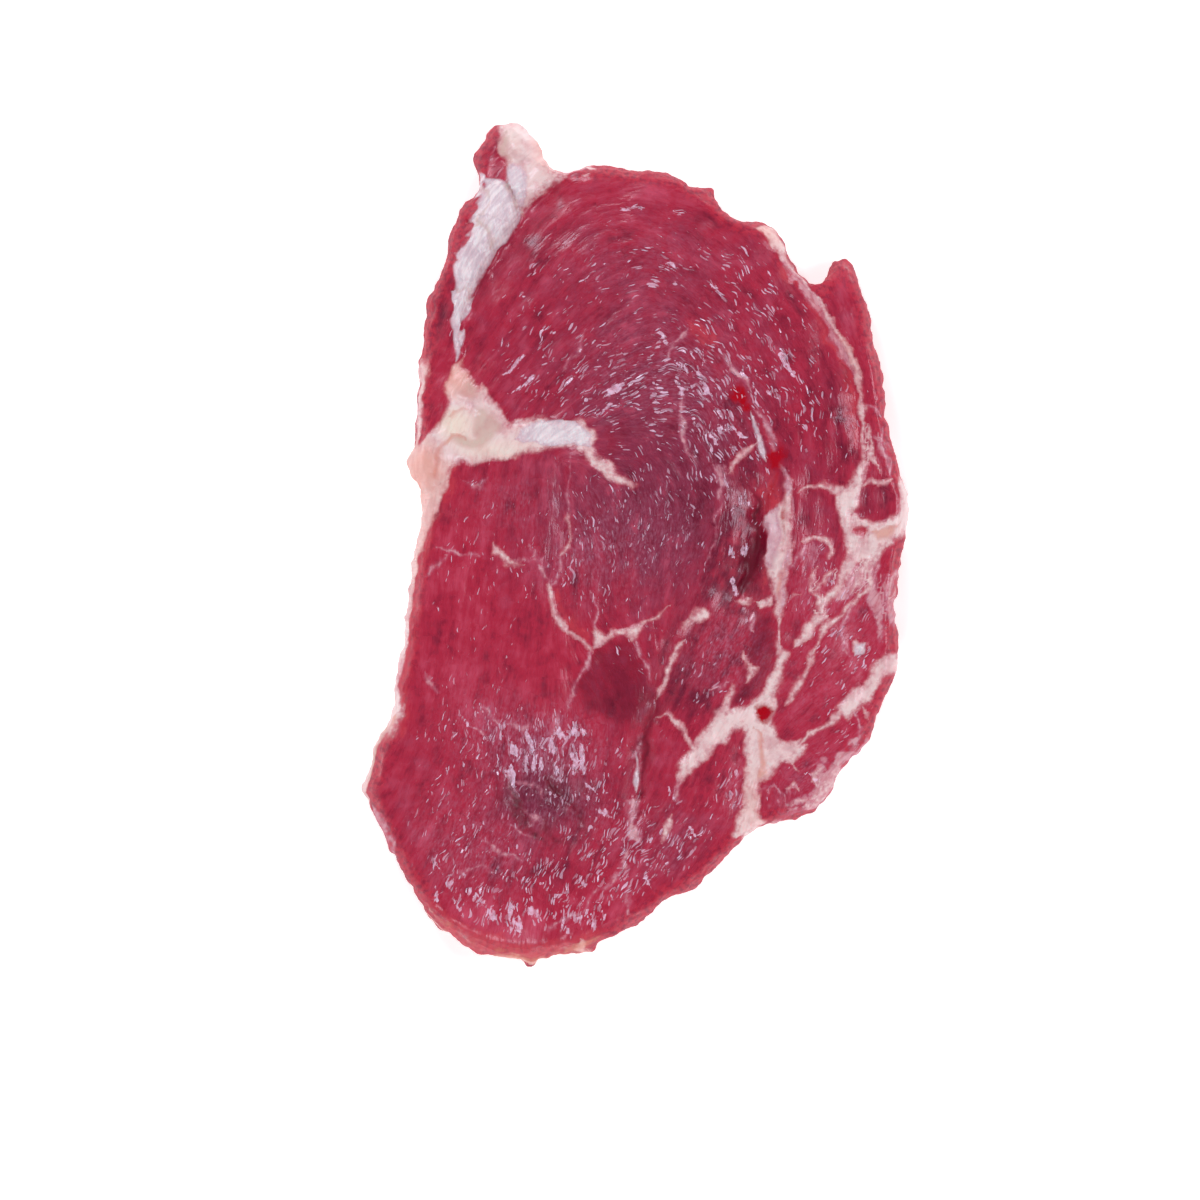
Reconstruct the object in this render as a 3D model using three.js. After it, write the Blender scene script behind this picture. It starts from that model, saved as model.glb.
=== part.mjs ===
// A boneless slice of raw beef, lying flat on its cut underside.
//
// Millimetres, +Z up. The origin is in the middle of the underside, on the surface that the slice rests on.
// +Y runs along the slice to its tail, and +X points to the marbled side. Lean and fat are one piece of meat.

import * as THREE from "three";

// Driving dimensions
const LENGTH = 200;
const WIDTH = 130;
const THICKNESS = 16;

// Spacing of the surface's points along the silhouette and over the cut face
const OUTLINE_STEP = 2.7;
const FACE_STEP = 2.5;

// How many times the rims are averaged along the edge, so that one stretch runs into the next
const RIM_BLENDING = 6;

// The silhouette, anticlockwise from above, as short stretches of the edge. rim is how far the cut face stands
// back from it there: the fat rim of the left and near sides slopes outwards, and the other sides are upright.
const EDGE = [
  {
    name: "tail",
    rim: 1.0,
    points: [
      [-15.6, 87.5], [-20.2, 89.3], [-23.2, 95.8], [-28.7, 100], [-33.5, 99.1], [-36.6, 94.7], [-38.4, 91],
      [-36.6, 83.7],
    ],
  },
  {
    name: "loose strip",
    rim: 1.0,
    points: [
      [-39.4, 82], [-43.6, 73.8], [-46.9, 61.6], [-49.1, 58.6], [-49.9, 48.4], [-51.1, 43.3], [-51.3, 36],
      [-52.2, 27.3], [-51.9, 23],
    ],
  },
  { name: "kernel point", rim: 2.0, points: [[-54.4, 20.1], [-50.6, 12.4]] },
  {
    name: "ribbed rim",
    rim: 1.7,
    points: [[-51.2, 2.8], [-52.9, -4.2], [-53.8, -12.2], [-54.4, -20.2], [-57, -32.4]],
  },
  {
    name: "folded rim",
    rim: 2.2,
    points: [[-57.6, -40.4], [-62, -48.1], [-62.4, -51.8], [-65, -57.8], [-62.9, -60.6]],
  },
  { name: "near left", rim: 1.2, points: [[-61.7, -65], [-58.8, -69.9], [-53.6, -80], [-46.8, -90.5]] },
  {
    name: "near end",
    rim: 2.4,
    points: [
      [-43.6, -92.2], [-40, -95.6], [-35.3, -97.4], [-27, -98], [-25.4, -100], [-23.4, -97.9], [-17, -97.1],
      [-10.4, -95.9],
    ],
  },
  {
    name: "near right",
    rim: 0.9,
    points: [
      [-9, -94.1], [2.2, -88.4], [6, -84.1], [15, -80.5], [23.2, -71.5], [28.7, -66.9], [41.2, -63.7],
      [44.9, -60.2],
    ],
  },
  {
    name: "marbled side",
    rim: 0.8,
    points: [
      [49.4, -52.4], [56, -45.2], [56.4, -42.2], [61.2, -30.4], [62.4, -24.6], [61.2, -13.8], [62.9, -3.8],
      [65, 8], [63.4, 14.2], [60.3, 25.6], [58.8, 32.6], [58.7, 39.6], [56.7, 46.4], [54.3, 57.6],
    ],
  },
  { name: "horn", rim: 0.7, points: [[50.6, 67.2], [47.3, 67.5], [45, 64.4]] },
  {
    name: "far edge",
    rim: 0.8,
    points: [
      [43.9, 60.5], [38.2, 65.3], [32, 75.4], [25, 76.2], [20.1, 79.4], [17.8, 84.4], [12.7, 84.7],
      [10.1, 86.8], [-2, 89], [-11.6, 89.3],
    ],
  },
];

// The side, from the surface below up: height as a share of the face's height, then how far it is in from the
// silhouette, as a share of the stretch's rim and as the rounding of the edge there.
const SIDE = [
  { height: 0, rim: 0, rounding: 1.5 },
  { height: 0.1, rim: 0, rounding: 0.45 },
  { height: 0.32, rim: 0, rounding: 0 },
  { height: 0.6, rim: 0.25, rounding: 0.1 },
  { height: 0.83, rim: 0.55, rounding: 0.4 },
  { height: 0.95, rim: 0.85, rounding: 1.1 },
  { height: 1, rim: 1, rounding: 2.1 },
];

// Swells and hollows of the cut face: the middle, how far each reaches along X and Y, and how high it stands
const SWELLS = [
  { name: "eye muscle", middle: [0, 42], reach: [32, 34], rise: 1.2 },
  { name: "near muscle", middle: [-36, -30], reach: [16, 44], rise: 1.0 },
  { name: "inner muscle", middle: [-2, -30], reach: [11, 9], rise: 0.9 },
  { name: "near right muscle", middle: [10, -50], reach: [11, 14], rise: 0.7 },
  { name: "fat kernel", middle: [-43, 28], reach: [6, 8], rise: 1.4 },
  { name: "tail", middle: [-31, 94], reach: [13, 15], rise: -5.4 },
  { name: "loose strip", middle: [-50, 62], reach: [8, 26], rise: -4.0 },
  { name: "horn", middle: [50, 66], reach: [9, 13], rise: -5.0 },
  { name: "marbled side", middle: [61, -8], reach: [13, 40], rise: -2.6 },
  { name: "near right corner", middle: [52, -58], reach: [22, 14], rise: -3.8 },
  { name: "near end", middle: [-28, -101], reach: [30, 10], rise: -2.8 },
  { name: "folded rim", middle: [-65, -52], reach: [8, 12], rise: -3.4 },
  { name: "wrinkled hollow", middle: [-21, -61], reach: [12, 8], rise: -2.4 },
];

// Seams between the muscles, and the cords of fat and tendon that stand up along them: half is the half width
const SEAMS = [
  { name: "vessel crease", half: 4.2, rise: -2.6, points: [[28, 12], [27.8, 0], [26.4, -8], [24.4, -13]] },
  { name: "vessel", half: 3.6, rise: 1.0, points: [[35.4, 14], [36, 3], [35.4, -8], [34.4, -18]] },
  {
    name: "cap seam",
    half: 3.2,
    rise: -1.1,
    points: [[33, 69], [40, 59.5], [46.5, 50], [51.4, 39], [53.6, 24]],
  },
  {
    name: "tail seam",
    half: 3.4,
    rise: -1.6,
    points: [[-20, 84], [-27, 76], [-36, 62.5], [-40, 51], [-42, 44]],
  },
  {
    name: "tail tendon",
    half: 4.0,
    rise: 2.0,
    points: [[-28, 85], [-33, 77], [-39, 67], [-42.5, 56], [-43, 48]],
  },
  { name: "kernel tendon", half: 3.6, rise: 0.9, points: [[-34, 24.5], [-26, 25], [-17, 26], [-12, 25]] },
  {
    name: "left seam",
    half: 3.4,
    rise: -1.0,
    points: [[-16, 20], [-16, 0], [-20, -10], [-11, -25], [-16, -42]],
  },
  { name: "near seam", half: 3.4, rise: -1.8, points: [[10, -24], [4.6, -38], [1.6, -47], [1, -62]] },
  { name: "marbled seam", half: 3.6, rise: -1.0, points: [[33.8, -24], [31, -36], [28, -48], [26.5, -62]] },
];

/** The item at an index of a closed ring. */
function at(ring, index) {
  return ring[(index + ring.length) % ring.length];
}

/** The silhouette as evenly spaced points, each with the rim of the stretch it belongs to. */
function silhouette() {
  const knots = EDGE.flatMap((stretch) => stretch.points.map(([x, y]) => ({ x, y, rim: stretch.rim })));
  const bends = knots.map((knot) => new THREE.Vector3(knot.x, knot.y, 0));
  const curve = new THREE.CatmullRomCurve3(bends, true, "centripetal");
  const count = Math.round(curve.getLength() / OUTLINE_STEP);
  const places = curve.getSpacedPoints(count).slice(0, count);
  const reach = (knot, place) => Math.hypot(knot.x - place.x, knot.y - place.y);
  const nearest = (place) => knots.reduce((a, b) => (reach(a, place) < reach(b, place) ? a : b));
  let rims = places.map((place) => nearest(place).rim);
  for (let pass = 0; pass < RIM_BLENDING; pass++) {
    rims = rims.map((rim, i) => (at(rims, i - 1) + rim + at(rims, i + 1)) / 3);
  }
  return places.map((place, i) => ({ x: place.x, y: place.y, rim: rims[i] }));
}

/** A ring with its points drawn towards their neighbours, which rounds off what is ragged. */
function relaxed(ring, passes) {
  let out = ring;
  for (let pass = 0; pass < passes; pass++) {
    out = out.map((p, i) => ({
      x: (at(out, i - 1).x + 2 * p.x + at(out, i + 1).x) / 4,
      y: (at(out, i - 1).y + 2 * p.y + at(out, i + 1).y) / 4,
    }));
  }
  return out;
}

/** The silhouette moved inwards to one level of the side, the smoother the further in it lies. */
function sideRing(edge, level) {
  const soft = relaxed(edge, 4);
  const moved = edge.map((p, i) => {
    const depth = p.rim * level.rim + level.rounding;
    const before = at(soft, i - 1);
    const after = at(soft, i + 1);
    const along = Math.hypot(after.x - before.x, after.y - before.y);
    const softness = Math.min(1, depth / 2);
    return {
      x: THREE.MathUtils.lerp(p.x, soft[i].x, softness) - (depth * (after.y - before.y)) / along,
      y: THREE.MathUtils.lerp(p.y, soft[i].y, softness) + (depth * (after.x - before.x)) / along,
    };
  });
  return relaxed(moved, Math.ceil(2 * level.rounding));
}

/** How far a place lies from a run of straight pieces. */
function distanceTo(points, x, y) {
  let least = Infinity;
  for (let i = 0; i + 1 < points.length; i++) {
    const [ax, ay] = points[i];
    const dx = points[i + 1][0] - ax;
    const dy = points[i + 1][1] - ay;
    const share = THREE.MathUtils.clamp(((x - ax) * dx + (y - ay) * dy) / (dx * dx + dy * dy), 0, 1);
    least = Math.min(least, Math.hypot(x - ax - share * dx, y - ay - share * dy));
  }
  return least;
}

/** Height of the cut face over the table. */
function faceHeight(x, y) {
  let height = THICKNESS;
  for (const { middle, reach, rise } of SWELLS) {
    height += rise * Math.exp(-(((x - middle[0]) / reach[0]) ** 2) - ((y - middle[1]) / reach[1]) ** 2);
  }
  for (const { points, half, rise } of SEAMS) {
    height += rise * Math.exp(-((distanceTo(points, x, y) / half) ** 2));
  }
  return height;
}

/** Whether a place is inside a closed ring. */
function isInside(ring, x, y) {
  let inside = false;
  ring.forEach((a, i) => {
    const b = at(ring, i + 1);
    if (a.y > y !== b.y > y && x < ((b.x - a.x) * (y - a.y)) / (b.y - a.y) + a.x) inside = !inside;
  });
  return inside;
}

/** Points in staggered rows all over a ring's inside, clear of its edge. */
function pointsInside(ring, step) {
  const found = [];
  const clearance = 0.75 * step;
  const loop = [...ring, ring[0]].map((p) => [p.x, p.y]);
  const rowStep = step * Math.sin(Math.PI / 3);
  const rows = Math.ceil(LENGTH / rowStep);
  for (let row = 0; row < rows; row++) {
    const y = -LENGTH / 2 + row * rowStep;
    for (let x = -WIDTH / 2 + (row % 2) * (step / 2); x < WIDTH / 2; x += step) {
      if (isInside(ring, x, y) && distanceTo(loop, x, y) > clearance) found.push({ x, y });
    }
  }
  return found;
}

/** Middle and squared radius of the circle through three points. */
function circleThrough(a, b, c) {
  const area = 2 * (a.x * (b.y - c.y) + b.x * (c.y - a.y) + c.x * (a.y - b.y));
  const [sa, sb, sc] = [a, b, c].map((p) => p.x * p.x + p.y * p.y);
  const x = (sa * (b.y - c.y) + sb * (c.y - a.y) + sc * (a.y - b.y)) / area;
  const y = (sa * (c.x - b.x) + sb * (a.x - c.x) + sc * (b.x - a.x)) / area;
  return { x, y, squared: (a.x - x) ** 2 + (a.y - y) ** 2 };
}

/** Delaunay triangles of a ring and the points inside it, as anticlockwise index triples into both lists. */
function triangulate(ring, inner) {
  const points = [...ring, ...inner];
  const far = 20 * LENGTH;
  const all = [...points, { x: -far, y: -far }, { x: far, y: -far }, { x: 0, y: far }];
  const make = (a, b, c) => ({ corners: [a, b, c], circle: circleThrough(all[a], all[b], all[c]) });
  let triangles = [make(points.length, points.length + 1, points.length + 2)];
  points.forEach((p, i) => {
    const hole = new Map();
    const kept = [];
    for (const triangle of triangles) {
      const { x, y, squared } = triangle.circle;
      if ((p.x - x) ** 2 + (p.y - y) ** 2 >= squared) {
        kept.push(triangle);
        continue;
      }
      triangle.corners.forEach((a, k) => {
        const b = triangle.corners[(k + 1) % 3];
        if (!hole.delete(`${b},${a}`)) hole.set(`${a},${b}`, [a, b]);
      });
    }
    triangles = [...kept, ...[...hole.values()].map(([a, b]) => make(a, b, i))];
  });
  const middle = (corners, axis) => corners.reduce((sum, corner) => sum + all[corner][axis], 0) / 3;
  return triangles
    .map((triangle) => triangle.corners)
    .filter((c) => Math.max(...c) < points.length && isInside(ring, middle(c, "x"), middle(c, "y")));
}

/** The slice as one closed surface: the underside, the rings of the side and the cut face. */
function sliceGeometry() {
  const edge = silhouette();
  const count = edge.length;
  const rings = SIDE.map((level) => sideRing(edge, level));
  const faceEdge = rings.at(-1);
  const inner = pointsInside(faceEdge, FACE_STEP);
  const edgeHeights = faceEdge.map((p) => faceHeight(p.x, p.y));
  const positions = [
    ...rings.flatMap((ring, k) => ring.flatMap((p, i) => [p.x, p.y, SIDE[k].height * edgeHeights[i]])),
    ...inner.flatMap((p) => [p.x, p.y, faceHeight(p.x, p.y)]),
  ];
  const faces = triangulate(rings[0], []).flatMap(([a, b, c]) => [a, c, b]);
  for (let k = 0; k + 1 < rings.length; k++) {
    for (let i = 0; i < count; i++) {
      const a = k * count + i;
      const b = k * count + ((i + 1) % count);
      faces.push(a, b, b + count, a, b + count, a + count);
    }
  }
  const faceStart = (rings.length - 1) * count;
  const faceCorners = triangulate(faceEdge, inner).flat();
  faces.push(...faceCorners.map((corner) => corner + faceStart));
  const geometry = new THREE.BufferGeometry();
  geometry.setAttribute("position", new THREE.Float32BufferAttribute(positions, 3));
  geometry.setIndex(faces);
  geometry.computeVertexNormals();
  return geometry;
}

/** Stands a geometry centred on the origin, exactly LENGTH by WIDTH. */
function fitToSize(geometry) {
  geometry.computeBoundingBox();
  const { min, max } = geometry.boundingBox;
  geometry.translate(-(min.x + max.x) / 2, -(min.y + max.y) / 2, -min.z);
  geometry.scale(WIDTH / (max.x - min.x), LENGTH / (max.y - min.y), 1);
  return geometry;
}

const leanBeef = new THREE.MeshStandardMaterial({ color: 0xa8304a, roughness: 0.35, metalness: 0 });

const slice = new THREE.Mesh(fitToSize(sliceGeometry()), leanBeef);
slice.name = "beef_slice";

const part = new THREE.Group();
part.add(slice);

export default part;
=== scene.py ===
"""A slice of raw beef, lying flat on its cut underside, as lean muscles grown together along seams of fat.

The slice's own shape comes from the frame. This script makes its surface finer, sculpts the muscles, tendon,
folds and fibres into it, and gives it the finish of wet raw meat. Places on the slice are in millimetres, as
(x, y) over the middle of its underside, with +Y towards its tail.
"""

import logging
import math
from dataclasses import dataclass, field
from enum import Enum

import bpy
import numpy as np
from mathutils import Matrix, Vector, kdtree


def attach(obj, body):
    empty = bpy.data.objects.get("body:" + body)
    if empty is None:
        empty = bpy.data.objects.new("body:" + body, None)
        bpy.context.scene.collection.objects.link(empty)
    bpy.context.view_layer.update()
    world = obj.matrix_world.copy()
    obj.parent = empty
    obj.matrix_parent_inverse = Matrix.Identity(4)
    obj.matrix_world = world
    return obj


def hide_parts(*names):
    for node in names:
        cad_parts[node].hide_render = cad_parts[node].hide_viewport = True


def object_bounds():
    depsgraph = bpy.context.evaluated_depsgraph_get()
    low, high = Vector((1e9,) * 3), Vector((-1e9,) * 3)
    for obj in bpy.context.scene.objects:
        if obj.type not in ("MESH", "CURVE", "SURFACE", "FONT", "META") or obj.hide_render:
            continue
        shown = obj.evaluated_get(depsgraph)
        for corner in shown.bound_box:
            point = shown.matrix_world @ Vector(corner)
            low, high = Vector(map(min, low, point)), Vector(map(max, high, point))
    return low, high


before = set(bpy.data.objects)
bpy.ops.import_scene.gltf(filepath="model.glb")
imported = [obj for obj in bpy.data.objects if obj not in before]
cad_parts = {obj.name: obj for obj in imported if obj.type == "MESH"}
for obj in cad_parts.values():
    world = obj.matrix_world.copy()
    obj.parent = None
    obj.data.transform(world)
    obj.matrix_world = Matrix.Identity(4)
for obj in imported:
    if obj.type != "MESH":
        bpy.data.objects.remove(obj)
cad_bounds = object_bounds()

LOG = logging.getLogger("beef slice")
MM = 0.001
# Farther in mm than any two places on the slice.
FAR = 1000.0

Point = tuple[float, float]
Points = tuple[Point, ...]
Socket = bpy.types.NodeSocket
Sockets = dict[str | int, object]

# Settings that many shader nodes share.
SMOOTH = {"interpolation_type": "SMOOTHSTEP"}
COLOUR = {"data_type": "RGBA"}
FLAT = {"voronoi_dimensions": "2D"}


class Tissue(Enum):
    """What a seam, strand or patch of the slice is made of, or the painted light that it stands for."""

    MUSCLE = "muscle"
    FAT = "fat"
    TENDON = "tendon"
    FILM = "film"
    FLUSH = "flush"
    RUST = "rust"
    BLOOD = "blood"
    # Painted shade at the bottom of creases and cracks.
    CREASE = "crease"
    # Painted highlights of the larger flat wet spots.
    PAINTED_SHINE = "shine"
    # Silverskin, and painted shade in the folds between the tendon's lumps.
    SKIN = "skin"
    FOLD = "fold"
    LUMP = "lump"
    ISLAND = "island"
    SHEATH = "sheath"


@dataclass(frozen=True)
class Strand:
    """A line of one tissue, with half widths in mm spread evenly from first point to last.

    Where a half width is below 0, only specks of the tissue show.
    """

    tissue: Tissue
    halves: tuple[float, ...]
    points: Points


@dataclass(frozen=True)
class Patch:
    """An area of one tissue inside a closed outline."""

    tissue: Tissue
    points: Points


@dataclass(frozen=True)
class Cloud:
    """A soft-edged area: its middle, how far it reaches along X and Y, and how strong it is there."""

    middle: Point
    reach: Point
    amount: float


@dataclass(frozen=True)
class Ripple:
    """A soft random field: how high it goes, over what distance it changes, and which one it is."""

    height: float
    wavelength: float
    seed: int


@dataclass(frozen=True)
class Tag:
    """A shred at the edge, or a nick in it: its place and width, and how far it stands out, in mm."""

    place: Point
    width: float
    length: float


MUSCLE, FAT, TENDON, FILM, FLUSH, RUST, BLOOD, CREASE, PAINTED_SHINE, SKIN, FOLD, LUMP, ISLAND, SHEATH = Tissue

# The tail: a soft fat tip, a lump of lean, and a tendon in three lumps that runs down the upper left side.
TAIL = (
    Patch(FAT, (
        (-33.6, 104), (-33, 99), (-32, 97), (-32.3, 94), (-31.5, 92), (-30.8, 89), (-30.5, 86), (-28, 82),
        (-26.6, 78.4), (-25, 79.8), (-22.5, 82.4), (-19.5, 85), (-17, 86.4), (-19.5, 88.4), (-14, 90.5),
        (-14, 104),
    )),
    Patch(TENDON, (
        (-36, 86.5), (-35.5, 84.5), (-38, 80.5), (-39.5, 77), (-39.3, 75.3), (-40.5, 72), (-43, 68.5),
        (-42, 67.5), (-43, 66), (-42.5, 62.5), (-43, 59), (-38.4, 58.6), (-36, 63.5), (-34, 67.5),
        (-33, 70), (-31, 70.7), (-28.5, 74.5), (-26.9, 78.5), (-27.4, 80.2), (-28.7, 82.7), (-30.2, 85.2),
        (-32, 86.3),
    )),
    Patch(TENDON, (
        (-30.6, 88.6), (-29.5, 89.8), (-27, 89.5), (-25.7, 87.5), (-25.6, 83), (-26.3, 79.8), (-27.4, 79.2),
        (-28.6, 82.4), (-30, 85.2),
    )),
    Strand(TENDON, (2.0, 1.9, 1.5, 0.9, 0.4), (
        (-40.4, 60.5), (-41.1, 56), (-41.7, 53), (-41.6, 50), (-42.2, 43),
    )),
    Strand(FOLD, (0.7,), ((-30.2, 85), (-28.7, 82.5), (-27.2, 79.5), (-26.5, 77))),
    Strand(FOLD, (0.7,), ((-39.4, 75.4), (-36.5, 75.8), (-34.8, 74.4), (-33.4, 70.4))),
    Strand(FOLD, (0.4,), ((-42.6, 60.4), (-40, 60.4), (-38.4, 59))),
    # Painted pink-beige shade in the folds between the tendon's lumps, over the folds above.
    Strand(SKIN, (0.5,), ((-30.2, 85.6), (-28.8, 82.8), (-27.3, 79.8), (-26.6, 78))),
    Strand(SKIN, (0.45,), ((-39.4, 75.4), (-36.5, 75.8), (-34.8, 74.4), (-33.4, 70.4))),
    Strand(SKIN, (0.35,), ((-42.8, 60.5), (-40, 60.5), (-38.3, 59))),
    Strand(SKIN, (0.4, 0.3), ((-36.6, 84), (-35.2, 80.6), (-36.4, 77.6))),
    Strand(FILM, (0.9, 1.4, 0.9), ((-19.4, 88), (-16, 87.6), (-13, 88.4))),
    Strand(FAT, (0.5, 1.3, 0.6), ((-13.6, 89), (-12, 88.4), (-11, 87))),
    Strand(FLUSH, (0.8,), ((-31.5, 97), (-31.5, 92), (-30.2, 87))),
    Strand(SKIN, (0.8, 1.4, 1.2), ((-23, 98), (-20.5, 94), (-18.8, 90))),
    Strand(SKIN, (0.5, 0.9, 0.6), ((-30.8, 97.5), (-30.6, 92.5), (-29.6, 90))),
    Patch(LUMP, ((-31, 99), (-27, 100), (-24, 96), (-24.6, 91), (-28, 90.4), (-30.4, 93))),
    Strand(FOLD, (0.8,), ((-19, 84.5), (-25, 79), (-30, 71.5), (-36, 62.5), (-39.8, 54), (-40.6, 45))),
)

# The kernel of fat on the left side, with the tendon that reaches from it into the slice.
KERNEL = (
    Patch(FAT, (
        (-40.8, 43.5), (-42.2, 41), (-44.6, 37.5), (-45.4, 35.5), (-44.2, 33), (-45.2, 30), (-47, 27.8),
        (-50.5, 25.8), (-62, 26), (-62, 18), (-43.3, 18), (-40.6, 19.4), (-34.4, 19.9), (-28, 20.2),
        (-26, 28.6), (-29.8, 28), (-30.8, 28.8), (-32.4, 31.8), (-34.6, 34.8), (-36, 38), (-37.2, 36.6),
        (-39.3, 38.2), (-40.2, 40.6),
    )),
    Patch(FAT, (
        (-33, 27.9), (-27, 28.5), (-23.5, 29.6), (-15, 29.4), (-12.4, 28.8), (-9.9, 27), (-9.6, 25),
        (-9.4, 22.6), (-8.4, 20.5), (-5.9, 18.2), (-2.8, 16), (-0.4, 13.8), (-1.6, 12.9), (-4.8, 14.8),
        (-8, 17), (-10.8, 19.4), (-12.6, 21.6), (-14.6, 22.5), (-20, 22.6), (-22.5, 22.2), (-26, 20.8),
        (-33, 19.9),
    )),
    Strand(TENDON, (0.8, 2.5, 2.5, 2.2, 1.4), (
        (-28, 24.8), (-22.5, 26), (-17.5, 26.6), (-13.5, 26.2), (-11.4, 23.6),
    )),
    Patch(LUMP, (
        (-49.2, 25.2), (-46.8, 27.2), (-43.2, 29.2), (-40, 30.8), (-38.2, 28.4), (-38, 26.4), (-39, 25.4),
        (-40.8, 26.2), (-42.4, 26), (-44, 24.4), (-46.4, 22), (-48.4, 22.8),
    )),
    Patch(LUMP, ((-45, 34), (-43, 34.6), (-39.4, 33.6), (-38.8, 31.4), (-42.6, 30.2), (-45.2, 30.6))),
    Patch(LUMP, (
        (-53, 23.6), (-49.8, 23.6), (-46.6, 20.8), (-44.4, 17), (-46.6, 13), (-50, 15), (-52.6, 19),
    )),
    Patch(SKIN, (
        (-38.6, 32.6), (-36.8, 32.8), (-34.4, 31.6), (-31.4, 27.2), (-33.5, 24.6), (-37, 22.6), (-41, 23),
        (-43, 24.6), (-40.8, 25.4), (-37.6, 25.6), (-37.4, 28.6),
    )),
    Patch(SKIN, ((-40.4, 38.4), (-38.4, 37.8), (-37.6, 35.6), (-39.4, 34.8), (-40.6, 36))),
    Strand(RUST, (0.3, 0.5, 0.3), ((-39.6, 25), (-42.4, 25.4), (-44.6, 23.4), (-46.6, 20.6), (-46.8, 15))),
    Strand(RUST, (0.3,), ((-43.6, 30.4), (-41.8, 31), (-40.6, 31.6))),
    Strand(FAT, (1.3,), ((-51.3, 46), (-51.4, 38), (-52.2, 30), (-52, 25))),
    Strand(FILM, (0.5, 0.8, 0.4), ((-39.5, 15.2), (-38, 14), (-36.5, 14), (-35.5, 15.2))),
)

# The fat rim of the left side, ribbed further up and folded over further down.
RIM = (
    Patch(FAT, (
        (-43.3, 19.5), (-43.4, 16), (-45.2, 11.5), (-47.3, 6), (-49.5, 1), (-51, -5), (-52.2, -13),
        (-53.3, -21), (-55.5, -30), (-55.8, -33), (-55.2, -36), (-54.4, -40), (-57.8, -45), (-60, -48.5),
        (-61.8, -52), (-61.6, -57.5), (-63, -61), (-72, -62), (-72, 21), (-43.6, 21),
    )),
    Strand(FLUSH, (0.9,), (
        (-42.6, 19), (-42.6, 16), (-44.4, 11.5), (-46.5, 6), (-48.7, 1), (-50.2, -5), (-51.4, -13),
        (-52.5, -21), (-54.6, -30), (-54.8, -36), (-53.3, -40), (-56.2, -45),
    )),
    Strand(RUST, (0.5, 0.8, 0.4), ((-56.4, -39.5), (-58, -43), (-60.2, -45.5))),
    Strand(FOLD, (0.8,), ((-54.5, -39), (-57.5, -42.5), (-61, -46))),
    Strand(SKIN, (0.6, 1.2, 1.0), ((-58.4, -44), (-61.6, -50), (-63.4, -57))),
    Strand(FILM, (0.8,), ((-61.5, -64), (-56, -74))),
    Strand(FLUSH, (0.8, 1.8, 2.2, 1.8, 0.8), (
        (-49, -84), (-45, -88.5), (-40, -92), (-34, -94), (-25, -95.2), (-16, -94), (-8, -91.5),
    )),
    Strand(FAT, (0.4, 0.8, 1.0, 0.9, 0.6, 0.4), (
        (-50, -86.6), (-46.8, -90.9), (-42.4, -94.8), (-36, -97), (-25, -99), (-17, -97.8), (-10, -95.6),
    )),
    Strand(RUST, (0.6, 1.2, 1.4, 0.8), (
        (-46, -89.8), (-41, -93.8), (-35, -96), (-25, -97.8), (-16, -96.4), (-8, -93.4),
    )),
    Strand(FAT, (1.5, 0.6), ((-11.4, -95.8), (-12, -93))),
)

# The seam between the eye and the cap, down the right side to the fat patch there.
RIGHT_BORDER = (
    Patch(FAT, ((28.7, 75), (31.7, 77), (37, 70), (34.3, 67.3), (31.5, 71.5))),
    Strand(FILM, (0.5, 0.9, 1.3, 1.5, 1.3, 0.9), (
        (34, 68.5), (38, 62), (42, 56.8), (45.6, 51.3), (48.6, 46.4), (51, 42), (52.2, 38),
    )),
    Strand(FAT, (0.5, 0.5, 0.5, 0.6, 0.7, 0.6, 0.7), (
        (33, 70.5), (37.4, 64.6), (42.8, 57.8), (46.8, 51.4), (49.8, 46.2), (52, 41.2), (52.2, 36.3),
        (52.6, 31.4), (53.5, 27), (53.7, 22.6), (53.3, 19.6),
    )),
    Strand(FILM, (0.5, 0.7), ((53, 32.4), (55, 32.2), (58.3, 31.3))),
    Strand(FLUSH, (1.4,), ((34, 66), (43, 54), (49.5, 42), (50.5, 33), (51.5, 24))),
)

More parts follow.
